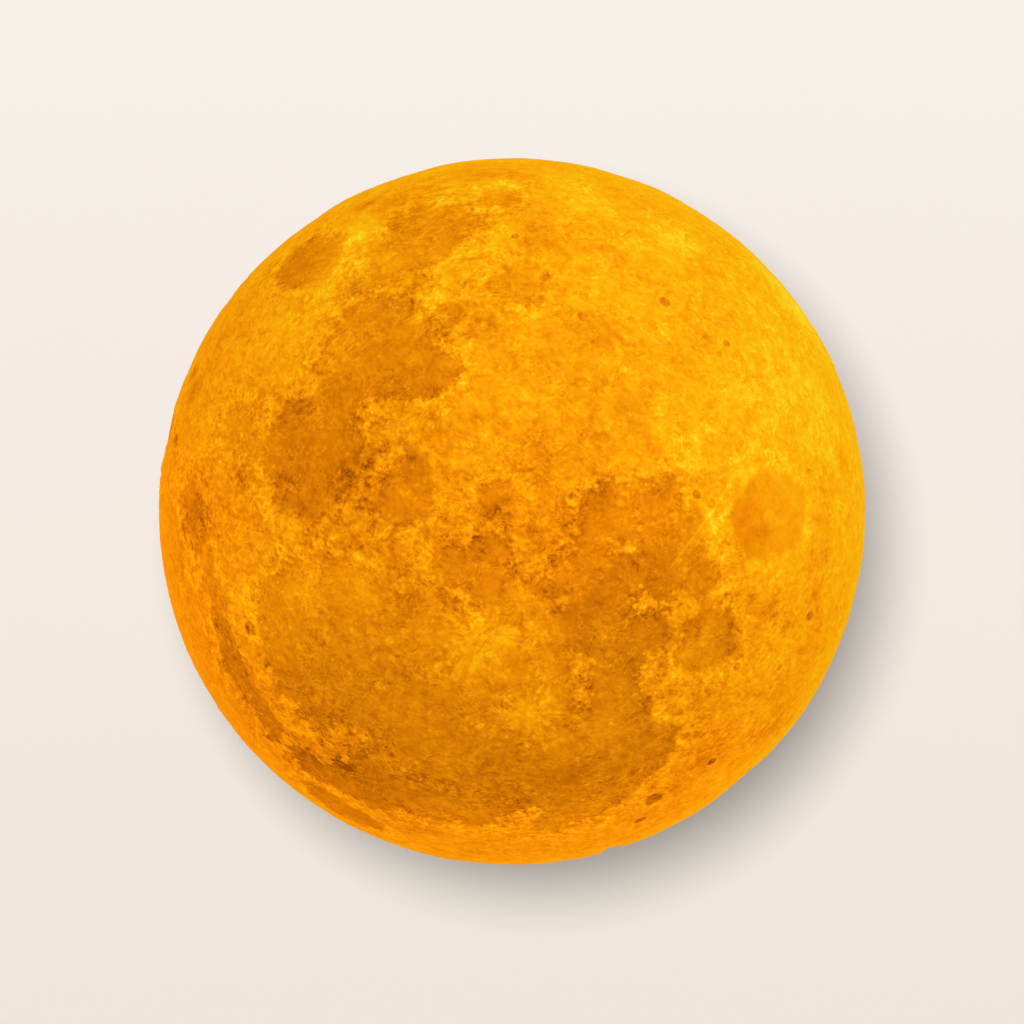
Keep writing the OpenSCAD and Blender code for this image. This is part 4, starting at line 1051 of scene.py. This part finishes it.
# The real glow hardly reaches the lit table in the photograph, so the globe's light is left out
globe.visible_diffuse = False
moonlit.cycles.emission_sampling = "NONE"
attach(globe, "lamp")
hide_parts("moon_globe")
print(len(moonlit.node_tree.nodes), "nodes in the finish of the globe")

# %% [markdown]
# ## Finishes of the base and the inside
#
# The other parts keep their solids, which already have the right shape, and get finishes by
# material: moulded white plastic, chrome, silicone, steel, circuit board and so on. Each finish is
# one function of its colour and its texture.

# %% Plastics and rubber
def moulded(name, colour, roughness, texture_size=0.25 * MM, depth=0.02 * MM, uneven=0.06):
    """Moulded plastic: nearly even colour with a fine eroded texture."""
    material, shader = new_finish(name)
    point = own_point(material, texture_size)
    broad = node(material, "TexNoise", Vector=own_point(material, 6 * MM), Scale=1.0, Detail=4.0)
    darker = shade(colour, 1 - 2 * uneven)
    plug(material, shader.inputs["Base Color"], mix_colours(material, broad, darker, colour))
    sheen = soft_step(material, broad, 0.3, 0.7, roughness - 0.06, roughness + 0.06)
    plug(material, shader.inputs["Roughness"], sheen)
    grit = node(material, "TexNoise", Vector=point, Scale=1.0, Detail=3.0, Roughness=0.6)
    relief(material, shader, grit, depth)
    return material


def rubbery(name, colour):
    """Silicone: dull, with dust in its pores."""
    material, shader = new_finish(name)
    pores = node(material, "TexVoronoi", Vector=own_point(material, 0.3 * MM), Scale=1.0)
    dust = soft_step(material, pores, 0.1, 0.5)
    dusty = shade(colour, 1.5, 0.01)
    plug(material, shader.inputs["Base Color"], mix_colours(material, dust, dusty, colour))
    shader.inputs["Roughness"].default_value = 0.85
    relief(material, shader, pores, 0.02 * MM)
    return material

# %% Metals
def metal(name, colour, roughness, scratch_size=(0.05, 0.05, 2.0), spread=0.12):
    """Bare or plated metal with fine marks along one axis."""
    material, shader = new_finish(name)
    point = node(material, "Mapping", Vector=node(material, "TexCoord", output=3),
                 Scale=tuple(1 / (v * MM) for v in scratch_size))
    marks = node(material, "TexNoise", Vector=point, Scale=1.0, Detail=4.0, Roughness=0.7)
    dulled = soft_step(material, marks, 0.35, 0.7, roughness, roughness + spread)
    tinted = shade(colour, 0.9)
    plug(material, shader.inputs["Base Color"], mix_colours(material, marks, tinted, colour))
    plug(material, shader.inputs["Roughness"], dulled)
    shader.inputs["Metallic"].default_value = 1.0
    relief(material, shader, marks, 0.004 * MM)
    return material

# %% Circuit board, film, foam and lenses
def board(name, mask, trace):
    """A circuit board: copper traces show through the solder mask."""
    material, shader = new_finish(name)
    lanes = node(material, "TexBrick", Vector=own_point(material, 2.2 * MM), output=1, Scale=1.0,
                 Mortar_Size=0.09, Brick_Width=1.7, Row_Height=0.6)
    plug(material, shader.inputs["Base Color"], mix_colours(material, lanes, mask, trace))
    shader.inputs["Roughness"].default_value = 0.3
    relief(material, shader, lanes, 0.03 * MM)
    return material


def film(name, colour):
    """Shrink film round the cell, with soft wrinkles and painted shade in their troughs."""
    material, shader = new_finish(name)
    folds = node(material, "TexNoise", Vector=own_point(material, 3 * MM), Scale=1.0, Detail=3.0,
                 Distortion=1.5)
    # The wrinkles' troughs are darker: painted shade
    deep = shade(colour, 0.8)
    plug(material, shader.inputs["Base Color"], mix_colours(material, folds, deep, colour))
    shader.inputs["Roughness"].default_value = 0.28
    relief(material, shader, folds, 0.12 * MM)
    return material


def porous(name, colour):
    """Closed-cell foam, with painted shade in its cells."""
    material, shader = new_finish(name)
    cells = node(material, "TexVoronoi", Vector=own_point(material, 0.4 * MM), Scale=1.0)
    # The cells' middles are darker: painted shade
    cell_shade = shade(colour, 0.5)
    plug(material, shader.inputs["Base Color"], mix_colours(material, cells, cell_shade, colour))
    shader.inputs["Roughness"].default_value = 0.95
    relief(material, shader, cells, 0.1 * MM)
    return material


def lens(name, colour):
    """Clear moulded plastic with faint flow lines."""
    material, shader = new_finish(name)
    flow = node(material, "TexNoise", Vector=own_point(material, 1.5 * MM), Scale=1.0, Detail=2.0)
    plug(material, shader.inputs["Roughness"], soft_step(material, flow, 0.3, 0.7, 0.06, 0.14))
    plug(material, shader.inputs["Base Color"],
         mix_colours(material, flow, colour, (1.0, 1.0, 1.0, 1.0)))
    shader.inputs["Transmission Weight"].default_value = 0.85
    shader.inputs["IOR"].default_value = 1.49
    return material

# %% [markdown]
# The finishes are made once and given to the parts by name.

# %% Give the parts their finishes
white_abs = moulded("white_abs", screen(236, 233, 226), 0.42)
chrome = metal("chrome_plate", screen(228, 228, 230), 0.06, (0.4, 0.4, 4.0), 0.07)
screw_steel = metal("screw_steel", screen(196, 196, 200), 0.3, (0.1, 0.1, 0.1))
socket_steel = metal("socket_steel", screen(205, 206, 208), 0.24, (0.3, 0.05, 1.0))
turned_aluminium = metal("turned_aluminium", screen(214, 216, 218), 0.32, (0.08, 2.0, 0.5))
FINISHES = {
    "globe_collar": white_abs,
    "touch_ring": chrome,
    "bottom_cover": white_abs,
    "foot_ring": rubbery("foot_silicone", screen(58, 58, 60)),
    "cover_screws": screw_steel,
    "light_column": white_abs,
    "control_board": board("green_board", screen(20, 92, 48), screen(40, 128, 66)),
    "board_screws": screw_steel,
    "board_chips": moulded("chip_epoxy", screen(34, 34, 36), 0.5),
    "usb_shell": socket_steel,
    "usb_tongue": moulded("socket_plastic", screen(28, 28, 30), 0.45),
    "switch_body": moulded("switch_plastic", screen(30, 30, 32), 0.5),
    "switch_stem": moulded("stem_plastic", screen(226, 224, 218), 0.4),
    "power_button": moulded("button_plastic", screen(92, 92, 95), 0.45),
    "indicator_lens": lens("indicator_acrylic", screen(232, 238, 244)),
    "indicator_led": moulded("led_case", screen(248, 240, 205), 0.35),
    "battery_tray": white_abs,
    "battery_cell": film("cell_film", screen(38, 92, 170)),
    "cell_pad": porous("pad_foam", screen(66, 66, 68)),
    "battery_plug": moulded("plug_nylon", screen(240, 234, 214), 0.5),
    "heat_spreader": turned_aluminium,
    "led_board": board("white_board", screen(238, 238, 234), screen(214, 216, 212)),
    "led_chips": moulded("light_chip", screen(250, 222, 120), 0.4, 0.1 * MM),
    "led_screws": screw_steel,
    "diffuser_cap": moulded("opal_cap", screen(246, 244, 238), 0.35),
    "battery_leads": moulded("red_sleeve", screen(196, 34, 28), 0.5, 0.5 * MM),
    "led_leads": moulded("pale_sleeve", screen(232, 230, 222), 0.5, 0.5 * MM),
    "touch_lead": moulded("pale_sleeve_2", screen(232, 230, 222), 0.5, 0.5 * MM),
}


def dress(part, material):
    """Gives a part one finish."""
    part.data.materials.clear()
    part.data.materials.append(material)


for name, material in FINISHES.items():
    dress(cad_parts[name], material)
print(len(FINISHES), "parts dressed")

# %% [markdown]
# ## Details of the underside
#
# Four parts of the underside have more shape than their solids: the screws have a rounded head
# with a cross recess, the button a dished face, the silicone foot fine ribs, and the socket's
# tongue gold contacts. They are modelled as by hand: a primitive of the right size, shaped in edit
# mode. Two helpers add a primitive and select parts of it by their place.

# %% Modelling helpers
HAIR = 0.01 * MM


def start(kind, name, **settings):
    """A new primitive, the only selected object, with its place in its mesh."""
    bpy.ops.object.select_all(action="DESELECT")
    getattr(bpy.ops.mesh, "primitive_" + kind + "_add")(**settings)
    piece = bpy.context.object
    piece.name = name
    bpy.ops.object.transform_apply(location=True, rotation=True, scale=True)
    return piece


def pick(piece, kind, test):
    """Selects the faces or edges whose middle passes the test, in edit mode."""
    take(piece)
    bpy.ops.object.mode_set(mode="EDIT")
    bpy.ops.mesh.select_mode(type=kind)
    bpy.ops.mesh.select_all(action="DESELECT")
    bpy.ops.object.mode_set(mode="OBJECT")
    points = piece.data.vertices
    for item in (piece.data.polygons if kind == "FACE" else piece.data.edges):
        middle = sum((points[i].co for i in item.vertices), Vector()) / len(item.vertices)
        item.select = test(middle)
    bpy.ops.object.mode_set(mode="EDIT")


def extrude_up(height):
    """Draws the selected faces out upwards."""
    bpy.ops.mesh.extrude_region()
    bpy.ops.transform.translate(value=(0, 0, height))


def deliver(piece, body, slot, material, *nodes):
    """Smooths, dresses and mounts a finished piece in place of its nodes."""
    take(piece)
    bpy.ops.object.shade_smooth_by_angle(angle=math.radians(35))
    dress(piece, material)
    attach(piece, body)
    if nodes:
        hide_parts(*nodes)
    print(piece.name, len(piece.data.polygons), "faces")

# %% [markdown]
# One screw stands on the lamp's axis first. Its head is a short cylinder whose lower rim gets a
# wide bevel, the shank is drawn out of the upper face, and two tapered bars cut the cross with a
# Boolean. Copies then go to the three places, each turned a little differently, as when screwed
# in.

# %% Cover screws
HEAD_R = 2.2 * MM
HEAD_H = 1.3 * MM
SHANK_R = 1.2 * MM
TIP_H = 1.2 * MM
SCREW_PLACES = {90: 12, 210: 71, 330: 39}

screws_low, screws_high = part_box("cover_screws")
screw_ring_r = screws_high.y - HEAD_R
screw = start("cylinder", "screw", vertices=40, radius=HEAD_R, depth=HEAD_H,
              location=(0, 0, screws_low.z + HEAD_H / 2))
pick(screw, "EDGE", lambda middle: middle.z < screws_low.z + HAIR)
bpy.ops.mesh.bevel(offset=0.6 * MM, segments=5, affect="EDGES")
shoulder_z = screws_low.z + HEAD_H
pick(screw, "FACE", lambda middle: middle.z > shoulder_z - HAIR)
bpy.ops.mesh.inset(thickness=HEAD_R - SHANK_R)
extrude_up(screws_high.z - TIP_H - shoulder_z)
extrude_up(TIP_H)
scale_about_axis(0.3, screws_high.z)
bpy.ops.object.mode_set(mode="OBJECT")

for turn in (0, 90):
    bar = start("cube", "bar", size=1, scale=(2.5 * MM, 0.55 * MM, 1.5 * MM),
                location=(0, 0, screws_low.z), rotation=(0, 0, math.radians(turn)))
    pick(bar, "FACE", lambda middle: middle.z > screws_low.z + 0.7 * MM)
    bpy.ops.transform.resize(value=(0.6, 0.6, 1), center_override=(0, 0, screws_low.z))
    bpy.ops.object.mode_set(mode="OBJECT")
    take(screw)
    recess = screw.modifiers.new("recess", "BOOLEAN")
    recess.object = bar
    bpy.ops.object.modifier_apply(modifier=recess.name)
    bpy.data.objects.remove(bar)

copies = []
for place, turn in SCREW_PLACES.items():
    copy = screw.copy()
    copy.data = screw.data.copy()
    bpy.context.scene.collection.objects.link(copy)
    copy.data.transform(Matrix.Rotation(math.radians(place), 4, "Z")
                        @ Matrix.Translation((screw_ring_r, 0, 0))
                        @ Matrix.Rotation(math.radians(turn), 4, "Z"))
    copies.append(copy)
bpy.data.objects.remove(screw)
take(copies[0])
for copy in copies:
    copy.select_set(True)
bpy.ops.object.join()
copies[0].name = "cross_screws"
deliver(copies[0], "lamp", "screw_steel", screw_steel, "cover_screws")

# %% [markdown]
# The button is a short cylinder. Its upper end spreads into the flange that keeps it in the cover,
# its lower rim is rounded, and the face is drawn in ring by ring to a shallow dish for a finger.

# %% Push button
BUTTON_R = 3.8 * MM
FLANGE_H = 0.7 * MM
BUTTON_ROUND = 0.4 * MM
DISH = [(0.5, 0.0), (0.6, 0.06), (0.6, 0.09), (0.6, 0.07), (0.5, 0.04), (0.3, 0.01)]

button_low, button_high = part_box("power_button")
button_x = (button_low.x + button_high.x) / 2
flange_r = (button_high.x - button_low.x) / 2
under_flange = button_high.z - FLANGE_H
button = start("cylinder", "dished_button", vertices=72, radius=BUTTON_R,
               depth=under_flange - button_low.z,
               location=(button_x, 0, (under_flange + button_low.z) / 2))
pick(button, "FACE", lambda middle: middle.z > under_flange - HAIR)
bpy.ops.mesh.extrude_region()
bpy.ops.transform.resize(value=(flange_r / BUTTON_R, flange_r / BUTTON_R, 1),
                         center_override=(button_x, 0, under_flange))
extrude_up(FLANGE_H)
pick(button, "EDGE", lambda middle: middle.z < button_low.z + HAIR)
bpy.ops.mesh.bevel(offset=BUTTON_ROUND, segments=6, affect="EDGES")
pick(button, "FACE", lambda middle: middle.z < button_low.z + HAIR)
for width, depth in DISH:
    bpy.ops.mesh.inset(thickness=width * MM)
    bpy.ops.transform.translate(value=(0, 0, depth * MM))
deliver(button, "button", "button_grey", FINISHES["power_button"], "power_button")

# %% [markdown]
# The foot is a torus whose round section is squared off, with four fine ribs pressed into the side
# that touches the table.

# %% Ribbed foot
FOOT_W = 2.8 * MM
RIB_DEPTH = 0.18 * MM
RIBS = 4

foot_low, foot_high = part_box("foot_ring")
foot_r = foot_high.x - FOOT_W / 2
foot_h = foot_high.z - foot_low.z
foot = start("torus", "ribbed_foot", major_segments=144, minor_segments=64, major_radius=foot_r,
             minor_radius=FOOT_W / 2, location=(0, 0, foot_h / 2))
points = points_of(foot)
ring_r = np.hypot(points[:, 0], points[:, 1])
across = (ring_r - foot_r) / (FOOT_W / 2)
up = (points[:, 2] - foot_h / 2) / (FOOT_W / 2)
squared = (np.abs(across) ** 5 + np.abs(up) ** 5) ** (1 / 5)
across, up = across / squared, up / squared
ribs = 0.5 - 0.5 * np.cos(across * math.pi * (RIBS + 1))
low_side = np.clip(-up * 4 - 2.6, 0, 1)
new_r = foot_r + across * FOOT_W / 2
points[:, 0] *= new_r / ring_r
points[:, 1] *= new_r / ring_r
points[:, 2] = foot_h / 2 + up * foot_h / 2 + low_side * RIB_DEPTH * ribs
foot.data.vertices.foreach_set("co", points.astype(np.float32).ravel())
foot.data.update()
deliver(foot, "lamp", "silicone", FINISHES["foot_ring"], "foot_ring")

# %% [markdown]
# The contacts are thin strips on both sides of the socket's tongue, twelve on each.

# %% Socket contacts
CONTACTS = 12
PITCH = 0.5 * MM
STRIP = (0.05 * MM, 0.26 * MM, 3.6 * MM)

tongue_low, tongue_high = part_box("usb_tongue")
socket_x = (tongue_low.x + tongue_high.x) / 2
TONGUE_T = 0.7 * MM
strips = []
for side in (-1, 1):
    for i in range(CONTACTS):
        strip = start("cube", "strip", size=1, scale=STRIP,
                      location=(socket_x + side * TONGUE_T / 2, (i - (CONTACTS - 1) / 2) * PITCH,
                                tongue_low.z + 0.3 * MM + STRIP[2] / 2))
        pick(strip, "EDGE", lambda middle: True)
        bpy.ops.mesh.bevel(offset=0.01 * MM, segments=1, affect="EDGES")
        bpy.ops.object.mode_set(mode="OBJECT")
        strips.append(strip)
take(strips[0])
for strip in strips:
    strip.select_set(True)
bpy.ops.object.join()
strips[0].name = "socket_contacts"
contact_gold = metal("contact_gold", screen(226, 180, 96), 0.22, (0.2, 0.2, 1.0))
deliver(strips[0], "lamp", "socket_steel", contact_gold)
